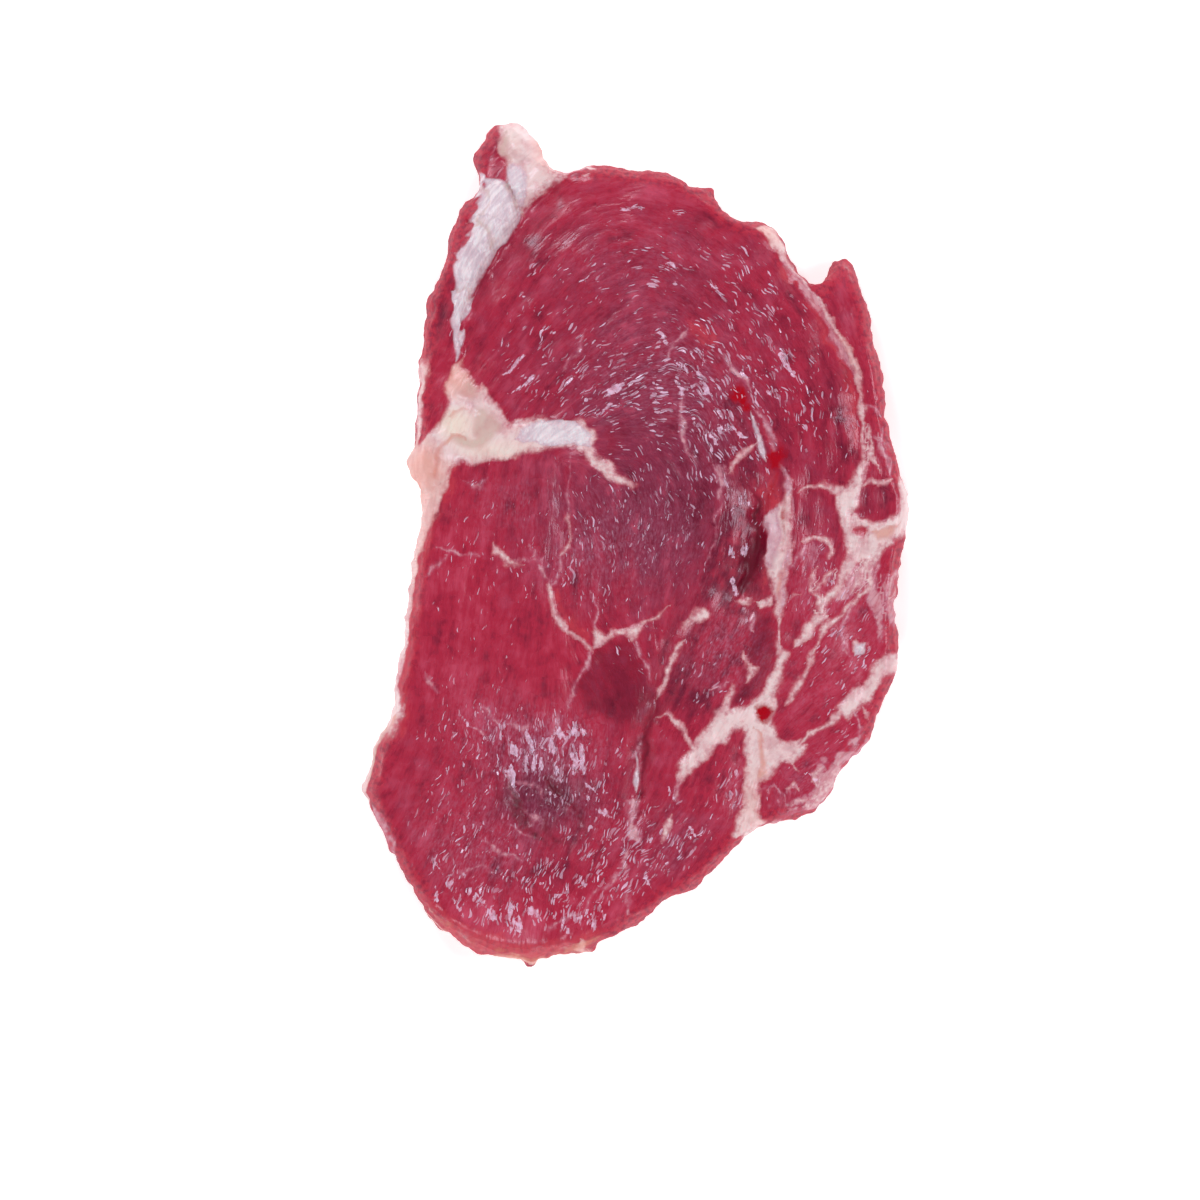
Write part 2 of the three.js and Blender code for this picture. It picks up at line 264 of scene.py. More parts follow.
# The fat patch of the right side, with islands of lean in it.
RIGHT_PATCH = (
    Patch(FAT, (
        (53, 20.6), (52.3, 19.3), (50.8, 18), (50, 14.8), (47.5, 12.5), (46.8, 10), (47.6, 7), (48.2, 4),
        (49, 0.5), (50, -2.4), (52, -4.6), (56.5, -3.7), (58, -2), (61, 1), (67, 1), (67, 15), (62.6, 15),
        (61.9, 8.3), (60.5, 7.2), (58, 5.5), (56, 5.5), (50.8, 7.2), (52.2, 8.5), (52, 10.5), (53.2, 14.5),
        (54, 19.7),
    )),
    Strand(FAT, (0.4, 0.7, 0.9), (
        (38.5, 12), (40, 12.9), (42.5, 13.3), (44.5, 13.2), (46.8, 12.6), (50, 13.5),
    )),
    Strand(FAT, (0.4, 0.6), ((53, 13.8), (55, 14.8), (57.5, 14.7), (60, 15.6))),
    Strand(FAT, (0.5, 0.9, 0.4), ((55, 27.5), (56, 24), (55.4, 20.5), (57.5, 18))),
    Strand(FILM, (0.5, 1.2, 0.5), ((59, 27), (58.3, 23), (60.2, 19.5), (60.5, 16.5))),
    Strand(FILM, (0.5, 0.8), ((55.5, 25.8), (58.4, 24.6), (60.5, 24.5))),
    Strand(RUST, (1.3, 1.0), ((56.5, 2.5), (59, 1.8), (61.5, 4))),
    Strand(FAT, (2.6, 2.0, 1.3, 0.9, 0.8), (
        (53.5, -1.6), (50.6, -5.4), (47.6, -9.4), (44.8, -13.4), (43, -17),
    )),
    Strand(FAT, (1.5, 0.8, 0.4), ((56.6, -2.4), (53.6, -7), (50.4, -11))),
    Strand(FILM, (1.2, 2.0, 1.0), ((53.5, -5), (51, -9), (48, -12.5))),
    Strand(FILM, (1.0, 1.8, 1.2, 0.6), ((56.4, -4), (55.4, -9), (56.4, -15), (57, -22))),
    Strand(FAT, (0.4, 0.8, 0.4), ((55.6, -5), (54.6, -9.5), (52, -12))),
    Strand(FILM, (0.9, 1.6, 0.8), ((61, -7), (59.6, -12), (60.6, -18))),
    Strand(FAT, (0.3, 0.7, 0.3), ((61.8, -5), (60.6, -10), (61, -15))),
    Strand(ISLAND, (1.0, 0.5), ((53.5, 3.2), (51.5, 3.8))),
)

# The thin strands between the grey-plum muscles of the right side.
RIGHT_STRANDS = (
    Strand(FAT, (0.4, 0.6, 0.4), ((39, 1), (43, 1.3), (45, 0.7), (45.7, -1), (45.5, -3))),
    Strand(FILM, (0.5, 0.4), ((40, 0.5), (39, -2), (37, -4.5), (36, -5))),
    Strand(FAT, (0.4, 0.5), ((46.8, -6.5), (44.5, -7.5), (43, -9), (41.5, -11))),
    Strand(FAT, (0.4, 0.5, 0.6), ((42.5, -5), (41, -8), (40.3, -10.5), (43, -13), (44.5, -17))),
    Strand(FAT, (0.4,), ((35.5, -13), (36.5, -12), (38, -12.3))),
    Strand(FAT, (0.5, 1.2, 0.9), ((37.5, -23.5), (40, -20.5), (43, -17.5), (44.5, -17))),
    Strand(FAT, (0.5, 0.7, 0.7, 0.5), (
        (56, -8), (52.5, -11.5), (50.5, -14), (49, -16), (44.8, -18.5), (42.3, -24), (40, -30), (35.6, -37),
    )),
    Strand(FILM, (0.5,), ((50.5, -14), (50, -17), (48.5, -19), (48.3, -21), (49.3, -26.5))),
    Strand(FILM, (0.6, 0.4), ((56.5, -6), (56.8, -9), (56.5, -12), (57, -15), (57.5, -22))),
    Strand(FILM, (0.5,), ((59, -8), (59.3, -13))),
    Strand(FAT, (0.5, 0.8, 0.4), ((51, -26.3), (51.7, -24.5), (53.4, -23.6))),
    Strand(FAT, (0.7,), ((60.8, -11.8), (63, -12))),
)

# The fat seam of the lower right side, and the film that covers the corner under it.
LOWER_RIGHT = (
    Patch(FAT, (
        (67, -24.4), (62.2, -24.8), (59, -25.6), (56.6, -27), (55, -29.8), (52.6, -32.8), (49.2, -35.6),
        (47, -38), (48, -40.5), (50, -41.7), (52.2, -38.9), (55.4, -36.1), (57.6, -32.9), (59, -31),
        (67, -30.4),
    )),
    Strand(FAT, (0.9, 0.5, 0.6), ((48, -39.5), (46, -41.5), (42, -44), (38, -47.5), (36, -49.5))),
    Strand(FILM, (0.5, 0.7), ((51.5, -40), (52.8, -42), (53, -44.5), (52, -47), (50.5, -49))),
    Patch(FILM, (
        (53, -45), (51.8, -50), (47.6, -55.6), (42.4, -60.4), (36.6, -63), (36.4, -60.6), (40.4, -57.4),
        (43, -53.6), (44.6, -50.4), (47.2, -48.8), (50.2, -46.4),
    )),
    Strand(FILM, (0.8, 1.5, 1.0), ((46, -55.4), (41, -59.6), (36, -62.2))),
    Strand(FILM, (0.6, 1.0), ((44.4, -51), (42.6, -54.6), (43.4, -58))),
    Strand(FILM, (0.8, 0.6), ((35, -62.4), (32.4, -65.8))),
    Strand(FAT, (0.2, 0.6, 0.4, 0.2), ((49, -49), (46.8, -53.4), (43.6, -57.6), (38.4, -61))),
    Strand(FAT, (0.3, 0.6, 0.3), ((43.6, -52.4), (42.2, -55.6), (42.8, -57.6))),
    Strand(FAT, (0.5, 0.3), ((34, -63.8), (31.6, -66.6))),
    Strand(TENDON, (0.4, 1.0, 0.5), ((51.4, -26.4), (52.6, -25), (53.6, -23.4))),
    Strand(FAT, (0.5, 0.7), ((53.4, -38.2), (54.4, -39.4), (55.4, -40.6))),
    Patch(LUMP, ((30, -58.6), (32.6, -57.6), (34.4, -59.6), (34, -62.6), (31.8, -63.6), (30.2, -61.6))),
    Strand(FOLD, (0.5,), ((35.2, -58.4), (35.4, -61.6), (34, -64))),
    Strand(FILM, (0.3,), ((29.8, -58.4), (32.4, -57), (34.8, -58.8))),
    Patch(LUMP, ((36.2, -56.2), (38.2, -56.2), (38.4, -58), (36.6, -58.2))),
    Strand(FAT, (0.3,), ((36.2, -56.6), (37.4, -55.8), (38.4, -57))),
    Strand(FILM, (0.8,), ((56.8, -46), (53, -50), (49, -55.5))),
)

# The branching fat seam low in the middle.
CENTRAL_FAT = (
    Patch(FAT, (
        (32.8, -23), (36.2, -24.8), (35.4, -28.6), (34.6, -32.4), (33, -36), (32.4, -40), (33.2, -45.4),
        (35.6, -46.4), (39, -45.2), (37.8, -48), (40.4, -47.6), (37.4, -51.8), (34.4, -51.2), (31.4, -54.6),
        (29.6, -57), (28.8, -62.6), (30.6, -68), (25, -71), (22.2, -67.8), (24, -62.8), (25.2, -57.6),
        (25.6, -50), (25, -43.6), (23.2, -43.8), (21, -46.8), (17.4, -50.4), (13.4, -53.4), (9.8, -56.2),
        (8.6, -53), (11.6, -49), (14.4, -45.2), (17.4, -41.6), (20, -38), (22.2, -33.6), (23.2, -33.8),
        (21.6, -39.6), (25.6, -38), (29.6, -35.2), (31.4, -31.6), (32.6, -28),
    )),
    Strand(RUST, (0.6, 0.9, 0.5), ((28, -44), (29.5, -47), (30.2, -50), (29.8, -55))),
    Strand(FLUSH, (1.2, 1.6), ((30.5, -51), (27, -58), (25.5, -66))),
    Patch(BLOOD, ((28.4, -38.4), (30.4, -37.8), (32, -39), (31.8, -41.2), (30.2, -42.2), (28.6, -41))),
    Strand(FAT, (0.4,), ((36, -49), (37, -51.5), (38.5, -53.3))),
    Strand(FILM, (1.1, 0.6), ((10, -53), (9, -57), (9.5, -60.5))),
    Strand(FAT, (0.5, 0.9, 0.5), ((8.3, -64), (7.5, -66), (6, -69.5))),
)

# The vessel right of the eye, in its pink sleeve, with the blood it lets out and the deep crease beside it.
VESSEL = (
    Strand(FILM, (0.4, 0.7, 1.0), ((20, 45), (25, 38.6), (26, 36.6))),
    Strand(FLUSH, (0.4, 0.8, 0.6), ((26, 37), (29.5, 29), (32, 21))),
    Strand(SHEATH, (0.3, 0.7, 0.5), ((28.6, 31), (30.4, 26.6), (32, 22.4))),
    Strand(TENDON, (0.3, 0.7, 0.7, 0.3), ((27, 30.8), (28, 27), (29.2, 23.5), (30.4, 20))),
    Strand(FILM, (0.7, 0.5), ((28.6, 31), (31, 25.4), (32, 22.6))),
    Strand(FLUSH, (1.0, 2.3, 2.1), ((32.4, 18.4), (31.9, 12.6), (31.5, 7.6))),
    Strand(BLOOD, (-0.2, 0.2, -0.1), ((33.4, 18), (32.2, 13.4), (31.6, 8.6))),
    Strand(SHEATH, (0.4, 0.8, 0.9), ((34.6, 18.6), (35.2, 15), (35.6, 11.6))),
    Patch(FAT, (
        (35, 14.8), (36.2, 15), (36.9, 10), (36.7, 3), (36.3, -3.5), (35.4, -6.7), (34.9, -12.2),
        (34.4, -18.5), (33.2, -18), (32.6, -13.3), (31.8, -8.6), (30.6, -4.6), (29.6, -2.6), (29.6, 0.5),
        (29.9, 4), (30.4, 7), (32.6, 8), (34.4, 10),
    )),
    Patch(SHEATH, (
        (30.2, 7), (33.2, 8.2), (34.2, 5), (33.8, 0), (32.8, -6), (30.4, -5), (29.6, 0.5), (29.8, 5),
    )),
    Strand(SHEATH, (0.5, 0.9, 0.5), ((35.4, -2), (34.4, -8), (34, -15))),
    Strand(BLOOD, (-0.3, 0.0, 0.0, -0.4), ((34.2, 15), (34.7, 10), (34.9, 5), (34.4, -2))),
    Strand(FAT, (0.45, 0.4, 0.6), ((33.8, -16.5), (33.6, -20.5), (34.2, -25))),
    Strand(LUMP, (1.2, 1.8, 1.0), ((31.8, 12), (31.6, 5), (30.8, -1))),
    Strand(RUST, (0.2, 0.35, 0.2), ((35.2, -4), (34, -8), (33.6, -13))),
    Strand(FLUSH, (0.5, 1.0, 0.8), ((30.6, -3), (30, -7), (29.8, -11))),
    Patch(BLOOD, (
        (22.4, 35.8), (24, 37), (25.6, 34.8), (27.6, 31.8), (26.4, 31.4), (24.4, 33), (22.6, 34.4),
    )),
    Patch(BLOOD, ((31.2, 22.4), (33.4, 23.2), (35.4, 21.4), (34.8, 18), (32.8, 17.4), (31.4, 19.6))),
    # Painted specks of shade beside the blood.
    Strand(CREASE, (-0.3, 0.1, -0.3), ((32.6, 21.6), (34.2, 21.4), (35, 20.6))),
    Strand(BLOOD, (0.4,), ((35.2, 7.2), (35.4, 6.6))),
    # Painted dark crimson shade in the deep crease beside the vessel.
    Strand(CREASE, (0.5, 1.1, 1.1, 1.2, 1.6, 1.7, 0.7), (
        (28.4, 13), (28.7, 8), (28.3, 3), (27.9, -1), (27.1, -4), (25.9, -8.5), (24.6, -12),
    )),
    Strand(FOLD, (0.6, 0.9, 1.2, 0.8), ((28.7, 9), (28.1, 1), (26.8, -6), (25, -11.5))),
    Strand(FAT, (0.4, 0.8, 0.4), ((23.6, -13.5), (25.8, -13.4), (27.8, -12.4))),
    Strand(FAT, (0.4, 0.9, 1.0, 0.5), ((28.4, -13), (29.6, -14.2), (31, -13.6), (32.2, -12.4))),
    Strand(FILM, (0.5,), ((27.5, -17), (27.8, -19.5))),
    Strand(FAT, (0.4, 0.6), ((25, -25), (26, -27.5))),
    Strand(FAT, (0.4, 0.6), ((26.5, -28.5), (27.3, -30), (26, -32))),
    Strand(FILM, (0.5,), ((18.5, -33.7), (20.5, -33.2))),
    Patch(MUSCLE, (
        (28, -16.4), (31.6, -17), (32.4, -22), (31.6, -28.6), (29, -33.6), (25.4, -36.8), (22, -38.6),
        (24, -33), (26, -26), (27, -20),
    )),
    # Painted highlights of wet spots beside the crease.
    Strand(PAINTED_SHINE, (0.4, 0.6, 0.4), ((26.2, 0.2), (25.6, -2.6))),
    Strand(PAINTED_SHINE, (0.6,), ((22.4, -1), (23, -2))),
    Strand(PAINTED_SHINE, (0.4, 0.6), ((22.6, -8), (23.4, -12))),
    Strand(PAINTED_SHINE, (0.5,), ((24.6, 9.6), (26.8, 9))),
)

# The eye muscle's fine veins and flecks, and the painted shade of the wrinkles near its rim.
EYE = (
    Strand(CREASE, (-0.6, -0.2, -0.6), ((36, 60), (39.6, 55.6), (43, 50))),
    Strand(CREASE, (-0.6, -0.2, -0.6), ((41, 47), (45, 41), (47.4, 35))),
    Strand(CREASE, (-0.7, -0.3, -0.6), ((46.4, 44), (49, 38.6), (50.4, 33))),
    Strand(CREASE, (-0.6, -0.3, -0.6), ((44, 30), (46.6, 24), (47.4, 18))),
    Strand(CREASE, (-0.4, 0.3, -0.3), ((50.6, 28), (50.4, 24.6), (49.2, 21))),
    Strand(CREASE, (-0.6, -0.3, -0.6), ((-38.4, 54), (-37.6, 47), (-35.8, 41))),
    Strand(CREASE, (-0.7, -0.4, -0.6), ((-36, 51), (-34.6, 45.6), (-33, 41.6))),
    Strand(CREASE, (-0.7, -0.4, -0.7), ((26, 62), (30, 56.6), (33, 50))),
    Strand(CREASE, (-0.7, -0.5, -0.7), ((33.4, 30), (35.6, 24), (36.4, 19))),
    Strand(FILM, (0.6, 1.3, 1.5, 0.5), ((18.5, 18.8), (20, 17), (20.2, 14.5), (19.7, 12.8))),
    Strand(FAT, (0.4, 0.6), ((21.5, 17.5), (24, 19.5), (26.5, 21.5), (28.5, 23.5))),
    Strand(FILM, (0.3, 0.1), ((19.5, 13), (19.5, 9), (18.7, 5), (18, 1), (16.5, -4))),
    Strand(FILM, (0.6, 0.4), ((11.5, 35), (11, 30), (11, 25), (11.5, 21.5), (14, 19))),
    Strand(FILM, (0.6, 0.4), ((12, 50.5), (9.5, 47.5), (7.5, 45), (6.5, 43))),
    Strand(FILM, (0.3, 0.5, 0.3), ((-17, 41), (-13.5, 45.5), (-12, 50))),
    Strand(FLUSH, (1.6, 3.0), ((13, 52), (17, 47))),
)

# The seams of the left and middle, where four muscles meet.
LEFT_SEAMS = (
    Patch(MUSCLE, (
        (-10.4, -26), (-6.6, -23), (-3, -22.4), (-0.6, -23.2), (2, -28), (4.4, -34), (4, -39), (1.6, -43.4),
        (-2, -43), (-7, -41.4), (-12, -38.4), (-13.4, -33), (-12, -29),
    )),
    Strand(FILM, (0.1,), ((-15.8, 22), (-16.3, 14), (-16.8, 10), (-16.3, 6.5))),
    Strand(FAT, (0.2, 0.5, 0.3), ((-16.3, 6.5), (-15.5, 2.5), (-15.8, -0.8), (-17.5, -3))),
    Strand(FILM, (0.5,), ((-17.5, -3), (-18.3, -5.5), (-19, -8), (-20.3, -9.5))),
    Strand(FILM, (0.3, 0.6), ((-24.5, -1), (-23.7, -4), (-22.5, -6), (-20.6, -9.3))),
    Strand(FAT, (1.0, 0.8, 0.7, 0.7), (
        (-20.8, -9.8), (-20.5, -12), (-20, -15), (-18.5, -17.5), (-16, -20),
    )),
    Strand(FAT, (0.4, 0.5, 0.9), ((-16, -20), (-13, -22), (-11.5, -24), (-10.2, -25.3))),
    Strand(FLUSH, (1.0, 1.7, 1.5), ((-19, -10.5), (-18.4, -14), (-15.5, -18), (-11, -22.5))),
    Strand(FAT, (0.6, 0.8, 0.4), ((-33.8, -0.5), (-33, -2), (-31, -3.8), (-27, -5))),
    Strand(FILM, (0.5,), ((-28, -4.5), (-25, -3.7), (-23, -3))),
    Strand(FILM, (0.4,), ((-37, -3.5), (-41, -3), (-46, -0.5))),
    Strand(FILM, (0.4,), ((-45.5, -3.5), (-49, -7))),
    Strand(FILM, (0.3, 0.6), ((-10, -11.5), (-9.7, -12.5), (-9.3, -16), (-9.2, -19))),
    Patch(FAT, (
        (-9.3, -19.3), (-7, -20.8), (-4, -19.5), (-1, -18.7), (0.5, -18.7), (3, -17.6), (3, -18.2),
        (1, -19.6), (-0.3, -22.2), (-1.5, -22.9), (-3, -21.5), (-5, -21.3), (-6.5, -22), (-8.5, -23.8),
        (-10.4, -25.4),
    )),
    Strand(FAT, (0.5, 0.4), ((2.5, -18), (5.5, -16.3), (7, -14.8))),
    Strand(FILM, (0.6, 0.4), ((-10.2, -25.2), (-12.3, -29.5), (-14, -34), (-16, -40))),
    Strand(FILM, (0.4,), ((-0.5, -22.5), (2, -28.5), (3.5, -31))),
    Patch(FAT, (
        (11.3, -18.6), (13, -17.2), (14.7, -14.4), (15.8, -14.7), (17.2, -17), (13.8, -18.3), (11.5, -20.5),
    )),
    Strand(FAT, (0.5, 1.0, 0.7, 0.5), ((11, -22.5), (9, -25), (7.3, -29), (5.8, -33), (4.8, -36.3))),
    # Painted shade along the crease under the seam, over a sunken fold.
    Strand(CREASE, (0.3, 0.5, 0.5, 0.3), ((4.8, -36.3), (3.8, -41), (1.8, -47), (1.2, -56), (0.8, -60))),
    Strand(FOLD, (0.9,), ((4.8, -36.3), (3.8, -41), (1.8, -47), (1.2, -56), (0.8, -60))),
    Strand(FILM, (0.5, 0.9), ((1.4, -45.5), (0.4, -48.5), (-1.5, -50.5))),
    Strand(TENDON, (0.3, 0.6, 0.4), ((0, -49.5), (0.2, -53), (-0.2, -57.5))),
    Strand(FILM, (0.6, 1.7, 1.0, 1.5), ((0, -59), (-0.6, -64), (-0.6, -66.5), (1, -70))),
    Strand(FAT, (0.4, 0.8, 0.7, 0.3), (
        (5, -40.8), (7, -40.3), (9, -41.5), (11, -43.5), (12.5, -46), (13, -49),
    )),
)

# The fine pale lines of the near end, and the painted shade of its wrinkles.
NEAR_END = (
    Strand(FILM, (0.4, 0.5), ((-21, -91), (-15, -87.5), (-10, -82.5), (-6, -78.5), (-3, -77.3))),
    Strand(FILM, (0.5,), ((-2, -72), (-3, -75), (-2.5, -77.5))),
    Strand(FILM, (0.4,), ((-1.5, -80), (-1.7, -84), (-2, -88))),
    Strand(FILM, (0.5, 0.9), ((-28.5, -66.5), (-23.3, -69.3))),
    Strand(CREASE, (0.4, 0.8, 0.5), ((-30.4, -55.5), (-29, -58.5), (-27, -63.5), (-25, -66))),
    Strand(CREASE, (0.0, 0.5, 0.5, 0.3, -0.2), (
        (-33.6, -55.5), (-32.6, -59.3), (-28.9, -62.2), (-26.4, -66.2), (-22.2, -67.7),
    )),
    Strand(CREASE, (0.3, 0.8, 0.6, 0.3, -0.1), (
        (-22.6, -54.6), (-18.6, -57.8), (-15.5, -61), (-12.1, -66), (-10.4, -71),
    )),
    Strand(CREASE, (0.3, 0.6, 0.3), ((-24.6, -66), (-23.4, -69), (-20, -71))),
    Strand(CREASE, (0.2, 0.5, 0.2), ((-21.7, -64.5), (-21.2, -69))),
    Strand(CREASE, (0.0, 0.4, 0.0), ((-20.5, -66.6), (-18.6, -69.4), (-15.6, -70.2))),
    Strand(CREASE, (-0.3, 0.2, -0.3), ((-33.6, -60), (-32.6, -64), (-30.2, -67.6))),
    Strand(CREASE, (-0.4, 0.2, -0.4), ((-45, -52), (-42.4, -57), (-41.6, -62))),
    Strand(CREASE, (-0.4, 0.1, -0.4), ((-48, -62), (-46, -68), (-43, -73))),
    Strand(FILM, (0.3, 0.4), ((-30.8, -54), (-30, -57.5), (-28, -61), (-25.6, -63.6), (-22, -65.5))),
    Strand(FILM, (0.3,), ((-28, -55.8), (-24, -57.2), (-21.6, -60))),
    Strand(FILM, (0.3,), ((-37, -69.4), (-31.4, -72.6), (-27.2, -74.6))),
    Strand(FILM, (0.3, 0.4), ((-41.6, -78), (-36.6, -75), (-33.4, -77.8))),
    Strand(FILM, (0.3, 0.4), ((-49.4, -30.5), (-46.4, -35))),
    Strand(FILM, (0.3, 0.4), ((-40.6, -41.4), (-35.6, -46.2))),
    Strand(FILM, (0.3,), ((-36.6, -39), (-31, -42.6))),
    Strand(FILM, (0.5, 0.9), ((-30, -42.2), (-27, -43.8), (-24.2, -42.8))),
    Strand(FOLD, (0.7,), ((-31, -56), (-28.7, -60), (-25.7, -65))),
    Strand(FOLD, (0.6,), ((-21, -56), (-16, -60.6), (-12.4, -65.6))),
    Strand(LUMP, (0.5, 1.4, 0.6), ((-24.6, -56.8), (-21.6, -61), (-17.4, -64.6))),
)

# Painted highlights: the larger flat spots of the wet face that shine lilac under the lamps.
PAINTED_SHINES = tuple(
    Strand(PAINTED_SHINE, halves, points)
    for halves, points in (
        ((0.5, 0.8, 0.4), ((-25.4, -44.6), (-24.6, -47.6), (-24.4, -49.4))),
        ((0.6, 0.4), ((-20.4, -46), (-19.4, -50.6))),
        ((0.7, 0.5), ((-18.4, -43.4), (-17.4, -46.4))),
        ((0.5, 0.6), ((-29.8, -47.4), (-28.2, -50.2))),
        ((0.3, 0.4), ((-18.6, -52.4), (-17.4, -56.8))),
        ((0.4, 0.4), ((-12.4, -56), (-9.6, -58.2))),
        ((0.3, 0.5), ((-33.4, -50.4), (-32.4, -53.8))),
        ((0.4, 0.3), ((-9.4, -62), (-6.8, -63.4))),
        ((0.4, 0.3), ((-41.6, -40.4), (-38.6, -43.4))),
        ((0.4, 0.7, 0.3), ((-30, -84.6), (-29.4, -88.4), (-28.6, -91))),
        ((0.3, 0.6, 0.3), ((-25.2, -84.4), (-22.8, -88.4), (-21.4, -91.6))),
        ((0.3, 0.5, 0.3), ((-33.6, -84.8), (-32, -89))),
        ((0.3, 0.5, 0.3), ((-37, -82.6), (-35.4, -86))),
        ((0.3, 0.4), ((-39.8, -80), (-38.4, -83.4))),
        ((0.3, 0.5), ((-16.4, -86.6), (-17.2, -90))),
        ((0.4, 0.7, 0.3), ((-13.6, -86), (-13.4, -89.6))),
        ((0.4, 0.4), ((-8.6, -85.6), (-7.8, -88.6))),
        ((0.4, 0.3), ((-47.4, -74), (-46, -77.4))),
        ((0.5, 0.3), ((9.4, -71), (10.6, -74))),
        ((0.2, 0.5, 0.3), ((-31.6, 39.2), (-28, 43.4), (-26.2, 45.2))),
        ((0.3, 0.3), ((-29.3, 35.6), (-24.6, 39.5))),
        ((0.3, 0.4), ((-16.6, 41), (-13, 46.1))),
        ((0.3,), ((-17.7, 36.7), (-15.2, 39.3))),
        ((0.6, 0.3), ((-13.2, 39.8), (-10.4, 42))),
        ((0.4, 0.7, 0.5), ((-7.2, 35.5), (-4.6, 37), (-2.4, 38.3))),
        ((0.35,), ((-9, 31.5), (-5.5, 33.4), (-3.6, 33))),
        ((0.6, 0.4), ((6.3, 49), (7.5, 47.3))),
        ((0.4, 0.2), ((12.7, 50.3), (15.1, 47.9))),
        ((0.6, 0.4), ((15.1, 45.7), (16.3, 43.5))),
        ((0.6,), ((9.3, 41.8), (9.9, 40.4))),
        ((0.7,), ((11.2, 41.2), (11.7, 40.2))),
        ((0.7,), ((14.7, 41.3), (15, 40.2))),
        ((0.6, 0.8, 0.4), ((15.6, 38.6), (16.8, 36.5), (18.2, 34.4))),
        ((0.5, 0.7, 0.4), ((10.2, 36.8), (11.4, 35.6), (13.2, 36.4))),
        ((0.5,), ((18.6, 31.3), (19.4, 30.6))),
        ((0.8,), ((22.6, 28), (23, 27.5))),
        ((0.6,), ((24.3, 25.8), (25.1, 25.5))),
        ((0.5, 0.3), ((25.3, 39.2), (27, 37.3))),
        ((0.5,), ((20, 27.4), (20.8, 26.7))),
        ((0.6,), ((22.2, 21.8), (23, 21.4))),
        ((0.4,), ((18, 25.7), (19.2, 24.2))),
        ((0.4, 0.3), ((-3, 79.6), (1, 79.3))),
        ((0.4,), ((9.5, 79), (11, 78.4))),
        ((0.5,), ((8, 66.2), (9.4, 65.6))),
        ((0.4,), ((17.5, 60.5), (19.2, 59.4))),
        ((0.4, 0.6, 0.3), ((-26.6, -49.4), (-26.2, -53.8))),
        ((0.3, 0.5, 0.3), ((-24.4, -50.4), (-23.8, -54.2))),
        ((0.4, 0.5), ((-22.4, -50), (-22, -53.4))),
        ((0.5, 0.8, 0.5), ((-15.4, -48), (-15.2, -53.6))),
        ((0.5, 0.8, 0.5), ((-13.2, -47.8), (-12.8, -53.6))),
        ((0.4, 0.6, 0.3), ((-15.2, -42.2), (-14.8, -46.2))),
        ((0.2, 0.4, 0.2), ((-13.4, -42.4), (-13.2, -45.6))),
        ((0.8, 0.4), ((-31.6, -53.8), (-28.6, -54.6))),
        ((0.9, 0.3), ((-30, -53), (-28.6, -56.4))),
        ((0.5, 0.3), ((-20.8, -58.4), (-15.6, -60.6))),
        ((0.5,), ((-12, -59.4), (-9.6, -61.4))),
        ((0.4, 0.6), ((-27.6, -87), (-27.8, -91.4))),
        ((0.4,), ((-19.6, -86.4), (-19.2, -88))),
        ((0.5,), ((-15.8, -90.6), (-15.6, -92.4))),
        ((0.9, 0.5), ((-11, -88), (-10.4, -91))),
        ((0.5,), ((-13.4, -78), (-11.4, -79.8))),
        ((0.4,), ((-35, -86), (-33.4, -88.4))),
        ((0.4,), ((-47.6, -81), (-46.6, -84))),
        ((0.3,), ((-44, -78), (-43.2, -81.4))),
        ((0.4,), ((-42.6, -84), (-41, -87.4))),
        ((0.5,), ((-6.6, -82.6), (-5.2, -84.8))),
        ((0.5,), ((2.6, -79), (3.4, -81))),
        ((0.6, 0.4), ((7.4, -57.2), (9, -60))),
        ((0.4,), ((12.4, -66.4), (13.4, -69))),
        ((0.5,), ((41.2, -54.4), (43, -55.6))),
        ((0.3, 0.7, 0.3), ((33.6, 44.6), (35.4, 42.4), (38.2, 38.8))),
        ((0.6, 0.3), ((31.4, 37.4), (33.6, 34.6))),
    )
)

ANATOMY = (
    *TAIL, *KERNEL, *RIM, *RIGHT_BORDER, *RIGHT_PATCH, *RIGHT_STRANDS, *LOWER_RIGHT, *CENTRAL_FAT, *VESSEL,
    *EYE, *LEFT_SEAMS, *NEAR_END, *PAINTED_SHINES,
)

# Where the lean is plum rather than red (amounts from -1 to 1).
PLUM = tuple(
    Cloud(*row)
    for row in (
        ((2, 40), (26, 34), 0.35), ((6, 8), (22, 20), 0.45), ((-22, 4), (16, 14), 0.1),
        ((50, -28), (14, 20), -0.45), ((43, -5), (8, 16), 0.15), ((-22, -60), (13, 9), 0.5),
        ((-24, -44), (12, 8), 0.3), ((10, -68), (9, 9), 0.2), ((-44, -12), (7, 30), -0.5),
        ((-18, -32), (10, 12), -0.5), ((-30, -88), (24, 8), -0.35), ((20, -55), (4, 8), -0.5),
        ((28, -5), (5, 14), -0.7), ((20, -4), (6, 12), -0.35), ((-46, 55), (5, 25), -0.8),
    )
)

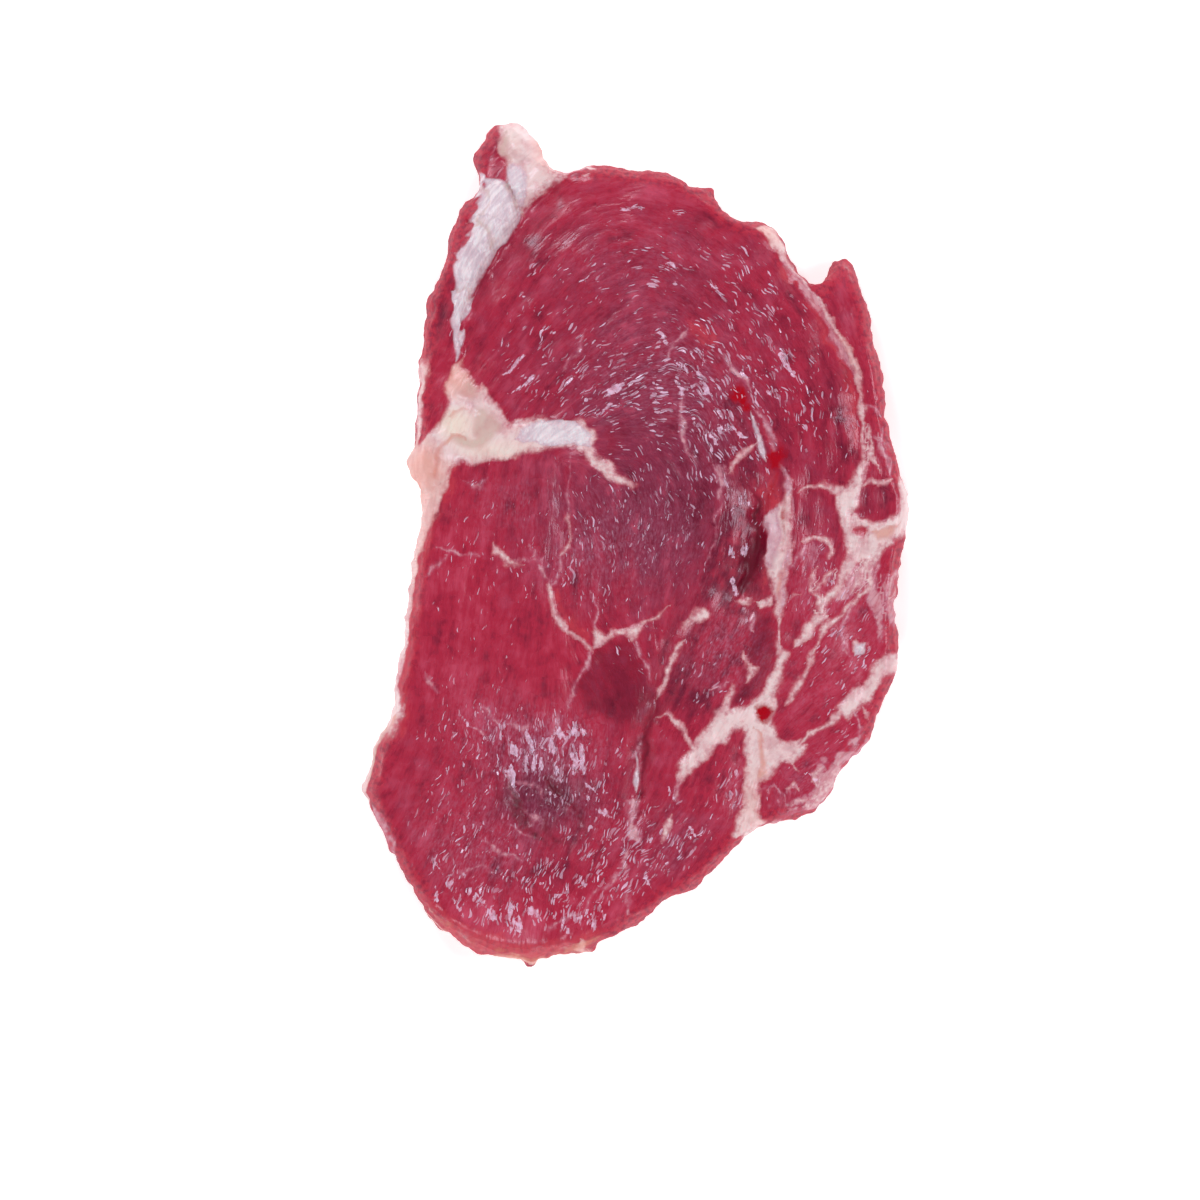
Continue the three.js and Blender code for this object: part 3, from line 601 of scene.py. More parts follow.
# Where the lean is lighter (up) or darker (down).
# Some darker clouds paint shade: in the near end's dip, beside the vessel's crease, along wrinkles and the
# tendon.
LIGHTNESS_AND_SHADE = tuple(
    Cloud(*row)
    for row in (
        ((5, 84), (24, 6), 0.35), ((58, 50), (5, 22), 0.3), ((-12, 18), (8, 6), 0.2),
        ((48, 64), (5, 5), 0.4), ((36, 58), (5, 10), -0.2), ((-47, 56), (3, 6), -0.4),
        ((47, 30), (5, 18), -0.3), ((14, 12), (18, 18), -0.2), ((-38, -16), (14, 26), 0.12),
        ((12, -32), (8, 10), -0.35), ((50, -28), (12, 18), 0.15), ((29, -8), (4, 7), -0.3),
        ((-8, -82), (7, 7), 0.25), ((27, 28), (8, 18), -0.15), ((22, 42), (8, 8), 0.15),
        ((-21, -60), (10, 7), -0.45), ((20, -6), (8, 14), -0.35), ((-24, -79), (14, 7), -0.28),
        ((28, -28), (5, 9), -0.2), ((55, 10), (6, 6), -0.3), ((-30, -90), (26, 7), 0.45),
        ((-57, -42), (4, 20), 0.1), ((20, -55), (5, 8), -0.1), ((60, -42), (7, 9), 0.3),
    )
)

# Where the fat is peach rather than cream.
PEACH = tuple(
    Cloud(*row)
    for row in (
        ((-51, 19), (7, 7), 0.75), ((-43, 39), (7, 6), 0.85), ((-43, 28.5), (5, 4.5), -1.1),
        ((-34, 22), (10, 3), -0.6), ((-21, 96), (5, 7), 0.9), ((-28, 95), (4, 6), -0.35),
        ((-46, -86), (12, 10), 0.8), ((-22, -98), (18, 5), 1.0), ((-60, -54), (6, 12), 0.4),
        ((-50, 0), (6, 24), 0.5), ((28, -62), (5, 10), 0.35), ((31, 74), (5, 5), 0.5),
        ((50, 45), (5, 12), 0.3),
    )
)

# How thickly the wet fibre ends glint, as painted highlights on tilted facets (0 to 1).
GLINTS = tuple(
    Cloud(*row)
    for row in (
        ((4, 66), (26, 12), 0.4), ((-24, 50), (10, 16), 0.4), ((32, 46), (12, 18), 0.55),
        ((42, 30), (8, 14), 0.45), ((24, 66), (14, 10), 0.25), ((8, 38), (18, 14), 0.7),
        ((-14, 38), (14, 12), 0.45), ((20, 24), (12, 16), 0.5), ((4, 6), (22, 16), 0.5),
        ((-14, -8), (11, 12), 0.45), ((-38, -6), (12, 24), 0.35), ((-22, -48), (14, 8), 0.8),
        ((-36, -42), (14, 12), 0.4), ((-10, -56), (9, 12), 0.6), ((-44, -66), (12, 18), 0.5),
        ((-24, -86), (24, 10), 0.85), ((-16, -74), (16, 10), 0.4), ((6, -72), (16, 14), 0.75),
        ((16, -34), (12, 12), 0.5), ((46, -14), (12, 20), 0.6), ((54, -38), (10, 14), 0.6),
        ((40, -56), (10, 8), 0.55), ((24, -58), (5, 10), 0.5), ((57, 34), (6, 26), 0.5),
        ((42, 66), (6, 8), 0.4), ((0, -24), (8, 8), 0.4), ((-46, 55), (5, 24), 0.25),
    )
)

# Where the lean has a painted lilac sheen, the highlights of fine wet fibre ends (0 to 1).
PAINTED_SHEEN = tuple(
    Cloud(*row)
    for row in (
        ((38, -34), (8, 10), 0.25), ((52, -14), (8, 10), 0.35), ((-48, -70), (8, 12), 0.3),
        ((-30, 10), (9, 7), 0.35), ((24, -24), (8, 12), 0.35), ((-22, -46), (14, 8), 0.8),
        ((-30, -64), (12, 12), 0.35), ((-36, -76), (10, 10), 0.35), ((-12, -62), (8, 10), 0.35),
        ((0, 2), (16, 14), 0.45), ((6, 40), (20, 12), 0.45), ((22, 22), (9, 14), 0.18),
        ((41, -8), (6, 14), 0.38), ((48, -32), (8, 10), 0.15), ((44, -56), (10, 7), 0.6),
        ((24, -58), (4, 9), 0.5), ((18, -25), (10, 10), 0.35), ((-14, -4), (9, 10), 0.35),
        ((58, 22), (5, 10), 0.45), ((0, 68), (24, 12), 0.25), ((-38, -40), (10, 12), 0.25),
        ((8, -70), (10, 8), 0.35),
    )
)

# Where the rim fat is ribbed.
RIBS = (Cloud((-52, -8), (5, 26), 0.07),)

# Which way the fibres and the glints on them run: a place, then the angle from +X in degrees.
GRAIN = (
    (-47, 60, 75), (-38, 60, 62), (-30, 70, 52), (-20, 80, 38), (-5, 84, 8), (10, 80, -18), (22, 70, -40),
    (33, 60, -52), (42, 45, -65), (46, 30, -80), (44, 10, 88), (-28, 45, 54), (-20, 38, 48), (-12, 50, 40),
    (-5, 35, 30), (3, 45, 22), (8, 30, 5), (15, 50, -35), (22, 40, -52), (28, 45, -62), (20, 25, -72),
    (8, 18, -55), (3, 13, -68), (-5, 22, -8), (-10, 5, -62), (0, 6, 75), (10, 5, 82), (15, -5, 70),
    (-20, 0, 80), (-35, 5, 82), (-42, -10, 86), (-35, -30, 78), (-25, -45, 86), (-50, -62, 62),
    (-38, -80, 66), (-25, -90, 86), (-10, -85, 68), (2, -78, 50), (5, -70, 55), (14, -68, 50),
    (12, -52, 70), (28, -60, 80), (40, -50, 38), (45, -35, 42), (50, -20, 52), (55, -5, 72), (36, -10, 80),
    (24, -20, 62), (10, -35, 62), (-4, -30, -50), (-12, -55, 80), (58, 30, -80), (54, 58, -72),
)

# The shreds and nicks of the outer edge.
TAGS = (
    Tag((62.4, -12), 1.2, 0.9),
    Tag((-25.4, -100), 1.2, 0.6),
    Tag((-54.4, -17.2), 0.9, 0.6),
    Tag((-34.6, -96.8), 1.6, -0.7),
    Tag((-36.6, 83.6), 1.0, -0.6),
    Tag((-28.6, 99.6), 1.2, 0.5),
    Tag((-20, 88.6), 1.2, -0.5),
    Tag((18.2, 84.2), 1.2, 0.6),
    Tag((44, 60.5), 1.1, -0.8),
    Tag((-64.7, -58), 1.2, 0.6),
    Tag((-10.5, -95.8), 1.0, 0.5),
    Tag((0.5, -89.5), 1.4, 0.4),
)


def linear(code: str) -> tuple[float, float, float, float]:
    """Turns an sRGB hex colour into the linear colour that a shader reads.

    Args:
        code: the colour, as "#rrggbb".

    Returns:
        Red, green, blue and an alpha of 1, linear.
    """
    shares = [int(code[i : i + 2], 16) / 255 for i in (1, 3, 5)]
    red, green, blue = [c / 12.92 if c <= 0.04045 else ((c + 0.055) / 1.055) ** 2.4 for c in shares]
    return red, green, blue, 1.0


def add(
    tree: bpy.types.NodeTree, kind: str, sockets: Sockets | None = None, **settings: object
) -> bpy.types.Node:
    """Adds a shader node with its settings, the values of its sockets and the links into them.

    Args:
        tree: the node tree it joins.
        kind: the node's type without "ShaderNode".
        sockets: for each input, by name or number, a value, a hex colour or another node's output.
        settings: the node's own properties.

    Returns:
        The new node.
    """
    node = tree.nodes.new("ShaderNode" + kind)
    for name, value in settings.items():
        setattr(node, name, value)
    for key, value in (sockets or {}).items():
        if isinstance(value, Socket):
            tree.links.new(value, node.inputs[key])
        else:
            node.inputs[key].default_value = linear(value) if isinstance(value, str) else value
    return node


def smooth(values: np.ndarray, low: float, high: float) -> np.ndarray:
    """Runs smoothly from 0 at low to 1 at high.

    Args:
        values: the numbers to turn.
        low: where the result leaves 0.
        high: where it reaches 1.

    Returns:
        The result for each value.
    """
    share = np.clip((values - low) / (high - low), 0, 1)
    return share * share * (3 - 2 * share)


def roughened(places: np.ndarray, wavelength: float, seed: int) -> np.ndarray:
    """A soft random field.

    Args:
        places: points, one row each, in 2 or 3 dimensions.
        wavelength: the distance over which the field changes.
        seed: which field.

    Returns:
        One value for each place, from about -1 to 1.
    """
    grid = places / wavelength
    low = np.floor(grid).astype(int)
    part = grid - low
    part = part * part * (3 - 2 * part)
    low -= low.min(axis=0)
    lattice = np.random.default_rng(seed).uniform(-1, 1, size=tuple(low.max(axis=0) + 2))
    total = np.zeros(len(places))
    for corner in np.ndindex(*(2,) * places.shape[1]):
        weight = np.prod(np.where(corner, part, 1 - part), axis=1)
        total += weight * lattice[tuple((low + corner).T)]
    return 1.6 * total


def rippled(places: np.ndarray, *ripples: Ripple) -> np.ndarray:
    """Adds up random fields.

    Args:
        places: points in mm, one row each.
        ripples: the fields.

    Returns:
        Their sum at each place.
    """
    return sum(ripple.height * roughened(places, ripple.wavelength, ripple.seed) for ripple in ripples)


def clouded(places: np.ndarray, clouds: tuple[Cloud, ...]) -> np.ndarray:
    """Adds up soft-edged areas.

    Args:
        places: points in mm, one (x, y) row each.
        clouds: the areas.

    Returns:
        Their sum at each place.
    """
    total = np.zeros(len(places))
    for cloud in clouds:
        away = (places - cloud.middle) / cloud.reach
        total += cloud.amount * np.exp(-np.sum(away * away, axis=1))
    return total


@dataclass
class Anatomy:
    """The tissues of the cut face, as distances in mm.

    Nothing is told past reach, and nothing is measured past margin round a part. A strand's width varies by
    uneven, and over taper it thins out to the share tip at its ends.
    """

    parts: tuple[Strand | Patch, ...] = ANATOMY
    reach: float = 4.0
    margin: float = 6.0
    taper: float = 1.3
    tip: float = 0.35
    uneven: Ripple = Ripple(0.4, 4.0, 41)

    def told(self, tissue: Tissue, places: np.ndarray, near_line: float = 0.75) -> np.ndarray:
        """What the finish needs to draw a tissue sharply, though it is noted only at each vertex.

        Args:
            tissue: the tissue.
            places: points in mm, one (x, y) row each.
            near_line: how far from a strand's edge it still counts as near, in mm.

        Returns:
            For each place the way across to the nearest strand's middle line (below 0 on its other side),
            that strand's half width (minus the reach when it is far), and the depth inside a patch.
        """
        across = np.full(len(places), self.reach)
        half = np.full(len(places), -self.reach)
        patch = np.full(len(places), -self.reach)
        best = np.full(len(places), -self.reach)
        for part in self.parts:
            if part.tissue is not tissue:
                continue
            line = np.array(part.points, float)
            low, high = line.min(axis=0) - self.margin, line.max(axis=0) + self.margin
            near = np.flatnonzero(np.all((places > low) & (places < high), axis=1))
            if isinstance(part, Patch):
                patch[near] = np.maximum(patch[near], self.inside(places[near], line))
                continue
            way, wide = self.along(places[near], line, part.halves)
            better = wide - np.abs(way) > best[near]
            chosen = near[better]
            across[chosen] = way[better]
            half[chosen] = wide[better]
            best[chosen] = (wide - np.abs(way))[better]
        half[best < -near_line] = -self.reach
        return np.column_stack([across, half, patch])

    def depth(self, tissue: Tissue, places: np.ndarray) -> np.ndarray:
        """How deep each place lies inside a tissue, in mm, below 0 outside it."""
        across, half, patch = self.told(tissue, places, 3.0).T
        return np.maximum(half - np.abs(across), patch)

    def along(
        self, places: np.ndarray, line: np.ndarray, halves: tuple[float, ...]
    ) -> tuple[np.ndarray, np.ndarray]:
        """Places measured against a strand.

        Args:
            places: points in mm.
            line: the strand's middle line.
            halves: its half widths, evenly spread.

        Returns:
            The way across from its middle line, and its half width there, for each place.
        """
        steps = np.linalg.norm(np.diff(line, axis=0), axis=1)
        starts = np.concatenate([[0], np.cumsum(steps)])
        uneven = 1 + rippled(places, self.uneven)
        across = np.full(len(places), FAR)
        half = np.zeros(len(places))
        for start, end, step, done in zip(line[:-1], line[1:], steps, starts):
            away = places - start
            share = np.clip(away @ (end - start) / step**2, 0, 1)
            distance = np.linalg.norm(away - share[:, None] * (end - start), axis=1)
            run = done + share * step
            wide = uneven * np.interp(run / starts[-1], np.linspace(0, 1, len(halves)), halves)
            if starts[-1] > 2 * self.taper:
                inward = smooth(np.minimum(run, starts[-1] - run), 0, self.taper)
                wide *= self.tip + (1 - self.tip) * inward
            side = (end[0] - start[0]) * away[:, 1] - (end[1] - start[1]) * away[:, 0]
            nearer = distance < np.abs(across)
            across = np.where(nearer, np.where(side < 0, -distance, distance), across)
            half = np.where(nearer, wide, half)
        return across, half

    def inside(self, places: np.ndarray, outline: np.ndarray) -> np.ndarray:
        """Depth inside a closed outline.

        Args:
            places: points in mm.
            outline: the outline's corners.

        Returns:
            The distance from the outline, above 0 inside it, for each place.
        """
        within = np.zeros(len(places), bool)
        nearest = np.full(len(places), FAR)
        for start, end in zip(outline, np.roll(outline, -1, axis=0)):
            away = places - start
            share = np.clip(away @ (end - start) / np.sum((end - start) ** 2), 0, 1)
            nearest = np.minimum(nearest, np.linalg.norm(away - share[:, None] * (end - start), axis=1))
            crosses = (start[1] > places[:, 1]) != (end[1] > places[:, 1])
            rise = end[1] - start[1] if end[1] != start[1] else 1e-9
            at = start[0] + (end[0] - start[0]) * (places[:, 1] - start[1]) / rise
            within ^= crosses & (places[:, 0] < at)
        return np.clip(np.where(within, nearest, -nearest), -self.reach, self.reach)


@dataclass
class Grain:
    """The run of the muscle fibres over the cut face, and the streaks that they make, on an even grid."""

    low: Point = (-68.0, -103.0)
    high: Point = (68.0, 103.0)
    step: float = 0.5
    falloff: float = 9.0
    across: np.ndarray = field(init=False)
    down: np.ndarray = field(init=False)
    turn: np.ndarray = field(init=False)
    directions: np.ndarray = field(init=False)

    def __post_init__(self) -> None:
        """Spreads the noted directions over the grid."""
        self.across = np.arange(self.low[0], self.high[0], self.step)
        self.down = np.arange(self.low[1], self.high[1], self.step)
        x, y = np.meshgrid(self.across, self.down, indexing="ij")
        turn = np.zeros((2, *x.shape))
        for place_x, place_y, angle in GRAIN:
            square = (x - place_x) ** 2 + (y - place_y) ** 2
            weight = 1 / (square + self.falloff**2) ** 2
            turn[0] += weight * math.cos(2 * math.radians(angle))
            turn[1] += weight * math.sin(2 * math.radians(angle))
        # Twice the angle is noted, as a fibre that is turned by half a turn runs the same way.
        self.turn = turn / np.maximum(np.hypot(*turn), 1e-12)
        half = np.arctan2(turn[1], turn[0]) / 2
        self.directions = np.stack([np.cos(half), np.sin(half)])

    def cells(self, x: np.ndarray, y: np.ndarray) -> tuple[np.ndarray, np.ndarray]:
        """Finds the grid cells nearest to places.

        Args:
            x: the places' x in mm.
            y: their y in mm.

        Returns:
            The cells' columns and rows.
        """
        column = np.clip(np.rint((x - self.low[0]) / self.step), 0, len(self.across) - 1).astype(int)
        row = np.clip(np.rint((y - self.low[1]) / self.step), 0, len(self.down) - 1).astype(int)
        return column, row

    def streaks(self, thickness: float, length: float, seed: int) -> np.ndarray:
        """Streaks along the fibres.

        Args:
            thickness: how thick a streak is, in mm.
            length: how far it runs to each side, in mm.
            seed: which streaks.

        Returns:
            Their height over the grid, with a mean of 0 and a spread of 1.
        """
        x, y = np.meshgrid(self.across, self.down, indexing="ij")
        places = np.column_stack([x.ravel(), y.ravel()])
        noise = roughened(places, thickness, seed).reshape(x.shape)
        total = noise.copy()
        for way in (1, -1):
            walk_x, walk_y = x.copy(), y.copy()
            last = way * self.directions
            for _ in range(int(length / self.step)):
                heading = self.directions[:, *self.cells(walk_x, walk_y)]
                heading = np.where(np.sum(heading * last, axis=0) < 0, -heading, heading)
                walk_x += self.step * heading[0]
                walk_y += self.step * heading[1]
                total += noise[self.cells(walk_x, walk_y)]
                last = heading
        return (total - total.mean()) / total.std()

    def sampled(self, values: np.ndarray, places: np.ndarray) -> np.ndarray:
        """Reads a field of the grid between its cells.

        Args:
            values: the field over the grid.
            places: points in mm, one (x, y) row each.

        Returns:
            The field at each place.
        """
        column = np.clip((places[:, 0] - self.low[0]) / self.step, 0, len(self.across) - 1.001)
        row = np.clip((places[:, 1] - self.low[1]) / self.step, 0, len(self.down) - 1.001)
        i, j = column.astype(int), row.astype(int)
        s, t = column - i, row - j
        near = values[i, j] * (1 - t) + values[i, j + 1] * t
        far = values[i + 1, j] * (1 - t) + values[i + 1, j + 1] * t
        return near * (1 - s) + far * s


@dataclass(frozen=True)
class TissueFinish:
    """The look of one tissue.

    core and skirt are its colours deep inside and at its edge, thick how far in the core begins, soft and
    ragged how blurred and how frayed its edge is (all in mm), opacity how much it hides of what lies under,
    and streaked how much of that it loses between its fibres.
    """

    tissue: Tissue
    core: str
    skirt: str
    thick: float
    soft: float
    ragged: float
    opacity: float
    roughness: float
    streaked: float = 0.12


# Each facet is a painted highlight as well as a tilt in the relief.
@dataclass(frozen=True)
class GlintLayer:
    """Facets of wet fibre ends: spacing and half size along and across the fibres in mm, tilt and share."""

    spacing: tuple[float, float]
    half: tuple[float, float]
    tilt: float
    share: float


# Raw beef: myoglobin makes the lean plum under the surface and bright red where air has reached it, and the
# water on the cut fibres gives it small sharp highlights rather than an even shine.
TISSUE_FINISHES = (
    # A darker muscle: plum, as air hasn't reached it. It shades the lean under it, whose fibres still show.
    TissueFinish(MUSCLE, "#c6b8cc", "#d8cad2", 1.5, 1.8, 1.2, 1.0, 0.28, 0.3),
    # Thin fat under a skin of lean: the orange-red flush beside seams and rims.
    TissueFinish(FLUSH, "#d04450", "#b83048", 0.8, 1.3, 1.3, 0.6, 0.24, 0.35),
    # Connective film: a translucent lilac veil on the lean.
    TissueFinish(FILM, "#e2b0bc", "#c06a84", 0.9, 0.6, 0.8, 0.8, 0.22, 0.5),
    # Intramuscular and rim fat: pale rose inside, pink where it thins out over the lean.
    TissueFinish(FAT, "#f2dadc", "#d08a96", 1.4, 0.6, 0.65, 0.95, 0.28),
    # Tendon: pearly lilac white, with a silky shine.
    TissueFinish(TENDON, "#f4e9f0", "#d6aebe", 1.1, 0.35, 0.3, 0.97, 0.2),
    # The vessel's sheath: smooth and slick, lilac pink.
    TissueFinish(SHEATH, "#e0b8c6", "#c27c90", 1.3, 0.7, 0.5, 0.92, 0.18, 0.3),
    # Silverskin over fat: translucent, grey-pink. Along the folds between the tendon's lumps it is painted
    # shade.
    TissueFinish(SKIN, "#c8a89a", "#cc9a94", 1.2, 0.9, 0.8, 0.6, 0.24),
    # Fat tinged with blood: ochre and orange lines and spots in the fat.
    TissueFinish(RUST, "#dc8a74", "#cc685c", 0.8, 0.7, 1.0, 0.62, 0.3),
    # Fresh blood: saturated and glossy.
    TissueFinish(BLOOD, "#b00016", "#a8102a", 0.9, 0.9, 1.4, 1.0, 0.1, 0.0),
    # Painted shade at the bottom of creases and cracks: dark crimson.
    TissueFinish(CREASE, "#5c001a", "#7e0a28", 0.9, 0.8, 0.5, 0.85, 0.4),
)
# The tissues that the mesh tells of, and those with edges so soft that it tells their depth alone.
TOLD_TISSUES = (*(finish.tissue for finish in TISSUE_FINISHES), PAINTED_SHINE)
SOFT_TISSUES = (MUSCLE, FLUSH, BLOOD, CREASE)
# How far each tissue stands out of the lean, and between which depths inside it the surface rises, in mm.
RISES = ((TENDON, 1.3, -0.4, 2.6), (FILM, 0.12, -0.4, 0.8), (LUMP, 0.8, -0.3, 1.6), (FOLD, -0.9, -1.2, 1.0))
# Streaks along the fibres: how thick, how long to each side, in mm, and which ones.
FINE_STREAKS = (1.2, 3.0, 11)
WIDE_STREAKS = (2.6, 5.0, 12)


@dataclass(frozen=True)
class RawBeef:
    """The finish of the whole slice: its colours, how rough it is and how it glints (sizes in mm)."""

    red: str = "#b22844"
    plum: str = "#8a2c48"
    # Darker red for random dark streaks, and for painted shade in dips and creases.
    dark: str = "#6c1430"
    light: str = "#cc4c68"
    rim: str = "#c23046"
    rim_dark: str = "#92203c"
    peach: str = "#ecb2a8"
    ivory: str = "#f6e6da"
    pearl: str = "#cdbccc"
    # The colour of the painted lilac sheen of fine fibre ends.
    painted_sheen: str = "#cc92b0"
    # The colour of the painted glints and wet spots.
    glint: str = "#f4d2ee"
    # How much of each glint is painted into the colour.
    painted: float = 0.82
    lean_roughness: float = 0.27
    roughness_spread: float = 0.06
    glint_roughness: float = 0.14
    rim_roughness: float = 0.62
    bundle: float = 7.0
    rib_spacing: float = 0.8
    tendon_turn: float = -13.0
    ior: float = 1.42
    shine_tint: tuple[float, ...] = (0.9, 0.84, 1.0, 1.0)
    # Red light goes furthest into meat, so thin edges and shadows glow red.
    scatter: float = 0.2
    scatter_depth: float = 1.4
    scatter_shares: tuple[float, ...] = (1.0, 0.3, 0.28)
    layers: tuple[GlintLayer, ...] = (
        GlintLayer(spacing=(4.6, 1.3), half=(1.9, 0.27), tilt=0.3, share=0.6),
        GlintLayer(spacing=(2.4, 0.8), half=(1.05, 0.17), tilt=0.34, share=1.0),
        GlintLayer(spacing=(2.4, 1.7), half=(0.85, 0.42), tilt=0.3, share=0.34),
    )

    def material(self) -> bpy.types.Material:
        """Builds the material.

        Returns:
            The material of raw beef.
        """
        material = bpy.data.materials.new("raw_beef_lean_and_fat")
        material.use_nodes = True
        material.node_tree.nodes.clear()
        BeefShader(self, material.node_tree).build()
        return material


class BeefShader:
    """The shader of raw beef: lean, tissues, painted sheen and glints, and fine relief, over shared noises.
    """

    def __init__(self, look: RawBeef, tree: bpy.types.NodeTree) -> None:
        """Reads what the mesh notes and makes the noises.

        Args:
            look: the finish.
            tree: the empty node tree that it fills.
        """
        self.look = look
        self.tree = tree
        place = self.add("TexCoord").outputs["Object"]
        # In mm, with the depth of the slice drawn out, because its fibres run from face to face.
        self.mm = self.value("VectorMath", {0: place, 1: (1000, 1000, 160)}, operation="MULTIPLY")
        self.fibres = self.fibre_space()
        fine = self.value("VectorMath", {0: self.fibres, 1: (0.26, 1.1, 1.0)}, operation="MULTIPLY")
        # Noise drawn out along the fibres, noise about a millimetre wide, and noise some millimetres wide.
        self.strand = self.value("TexNoise", {"Vector": fine, "Scale": 1.0, "Detail": 2.0, "Roughness": 0.5})
        blots = {"Vector": self.mm, "Roughness": 0.6}
        self.blot = self.value("TexNoise", {**blots, "Scale": 0.9, "Detail": 3.0})
        self.blotch = self.value("TexNoise", {**blots, "Scale": 0.2, "Detail": 4.0})
        # The noise that frays edges.
        self.ragged = self.value("Mix", {0: 0.42, 2: self.blot, 3: self.strand})
        # Tone: plum, lightness, whose darker clouds paint shade in dips and creases, and peach.
        self.plum, self.light, self.peach = self.noted("tone")
        # How thickly the painted glints and sheen lie, and the ribs.
        self.glinting, self.painted_sheen, self.ribbing = self.noted("wet")
        self.rim = self.add("Attribute", attribute_name="rim").outputs["Fac"]

    def add(self, kind: str, sockets: Sockets | None = None, **settings: object) -> bpy.types.Node:
        """Adds a node to the tree."""
        return add(self.tree, kind, sockets, **settings)

    def value(self, kind: str, sockets: Sockets | None = None, **settings: object) -> Socket:
        """Adds a node to the tree and gives the first of its outputs that is in use."""
        return next(output for output in self.add(kind, sockets, **settings).outputs if output.enabled)

    def noted(self, name: str) -> tuple[Socket, ...]:
        """The three numbers that the mesh notes under a name."""
        vector = self.add("Attribute", attribute_name=name).outputs["Vector"]
        return tuple(self.add("SeparateXYZ", {0: vector}).outputs)

    def build(self) -> None:
        """Lays the tissues over the lean, then the wet shine, painted as highlights and made smoother."""
        look = self.look
        colour = self.with_painted_sheen(self.lean())
        smoothest = look.lean_roughness - look.roughness_spread
        roughest = look.lean_roughness + look.roughness_spread
        rough = self.value("MapRange", {0: self.strand, 1: 0.3, 2: 0.7, 3: smoothest, 4: roughest})
        covers = {}
        for finish in TISSUE_FINISHES:
            cover, shade = self.tissue(finish)
            shade = self.tinted(finish.tissue, shade)
            blend = "MULTIPLY" if finish.tissue is MUSCLE else "MIX"
            colour = self.value("Mix", {0: cover, 6: colour, 7: shade}, blend_type=blend, **COLOUR)
            rough = self.value("Mix", {0: cover, 2: rough, 3: finish.roughness})
            covers[finish.tissue] = cover
        pale = self.value("Math", {0: covers[FAT], 1: covers[TENDON]}, operation="MAXIMUM")
        # The painted highlights of the larger wet spots.
        shining = self.depth(PAINTED_SHINE)
        near = self.value("MapRange", {0: shining, 1: -0.7, 2: 0.5, 4: 0.9})
        density = self.value("Math", {0: self.glinting, 1: near}, operation="ADD")
        shine, facets = self.glints(density, pale)
        shine = self.value("Math", {0: shine, 1: self.painted_wide_shine(shining)}, operation="MAXIMUM")
        # The glints and wet spots are painted into the colour as lilac highlights.
        painted = self.value("Math", {0: shine, 1: look.painted}, operation="MULTIPLY")
        colour = self.value("Mix", {0: painted, 6: colour, 7: look.glint}, **COLOUR)
        rough = self.value("Mix", {0: shine, 2: rough, 3: look.glint_roughness})
        outer = self.value("MapRange", {0: self.rim, 1: 1.6, 2: 0.2}, **SMOOTH)
        rough = self.value("Mix", {0: outer, 2: rough, 3: look.rim_roughness})
        shader = self.add(
            "BsdfPrincipled",
            {
                "Base Color": colour,
                "Roughness": rough,
                "IOR": look.ior,
                "Specular Tint": look.shine_tint,
                "Subsurface Weight": look.scatter,
                "Subsurface Radius": look.scatter_shares,
                "Subsurface Scale": look.scatter_depth * MM,
                "Normal": self.relief(covers, facets),
            },
        )
        self.add("OutputMaterial", {"Surface": shader.outputs[0]}, is_active_output=True)

    def with_painted_sheen(self, colour: Socket) -> Socket:
        """Paints the lilac sheen of the finest wet fibre ends over the lean, as a highlight.

        Args:
            colour: the lean's colour.

        Returns:
            Its colour with the painted sheen.
        """
        # The real fibre ends are 0.05 mm wide, too fine to show, and their sheen is painted as specks 0.25
        # mm wide.
        fine = self.value("VectorMath", {0: self.fibres, 1: (0.9, 2.6, 1.0)}, operation="MULTIPLY")
        grit = self.value("TexNoise", {"Vector": fine, "Scale": 1.0, "Detail": 1.0})
        share = self.value("MapRange", {0: grit, 1: 0.4, 2: 0.7, 3: 0.08, 4: 0.66})
        patchy = self.value("MapRange", {0: self.blot, 1: 0.34, 2: 0.66, 3: 0.3, 4: 1.1})
        share = self.value("Math", {0: share, 1: patchy}, operation="MULTIPLY")
        share = self.value("Math", {0: share, 1: self.painted_sheen}, operation="MULTIPLY", use_clamp=True)
        return self.value("Mix", {0: share, 6: colour, 7: self.look.painted_sheen}, **COLOUR)

    def fibre_space(self) -> Socket:
        """Turns places to the run of the fibres, afresh in each bundle of them.

        Returns:
            The place along the fibres, across them and through the slice, in mm.
        """
        cosine, sine, _ = self.noted("grain")
        double = self.value("Math", {0: sine, 1: cosine}, operation="ARCTAN2")
        back = self.value("Math", {0: double, 1: -0.5}, operation="MULTIPLY")
        bundle = self.add("TexVoronoi", {"Vector": self.mm, "Scale": 1 / self.look.bundle}, **FLAT)
        away = self.value("VectorMath", {0: self.mm, 1: bundle.outputs["Position"]}, operation="SUBTRACT")
        local = self.value("VectorRotate", {"Vector": away, "Angle": back}, rotation_type="Z_AXIS")
        shifted = {0: bundle.outputs["Color"], 1: (90, 90, 0), 2: local}
        return self.value("VectorMath", shifted, operation="MULTIPLY_ADD")

    def lean(self) -> Socket:
        """Mixes the lean: red or plum, darker or lighter, and another red along the outer edge.

        Returns:
            Its colour.
        """
        look = self.look
        plum = self.value("Math", {0: self.blotch, 1: 1.5, 2: self.plum}, operation="MULTIPLY_ADD")
        share = self.value("MapRange", {0: plum, 1: 0.6, 2: 1.35}, **SMOOTH)
        colour = self.value("Mix", {0: share, 6: look.red, 7: look.plum}, **COLOUR)
        streak = self.add("Attribute", attribute_name="streak").outputs["Fac"]
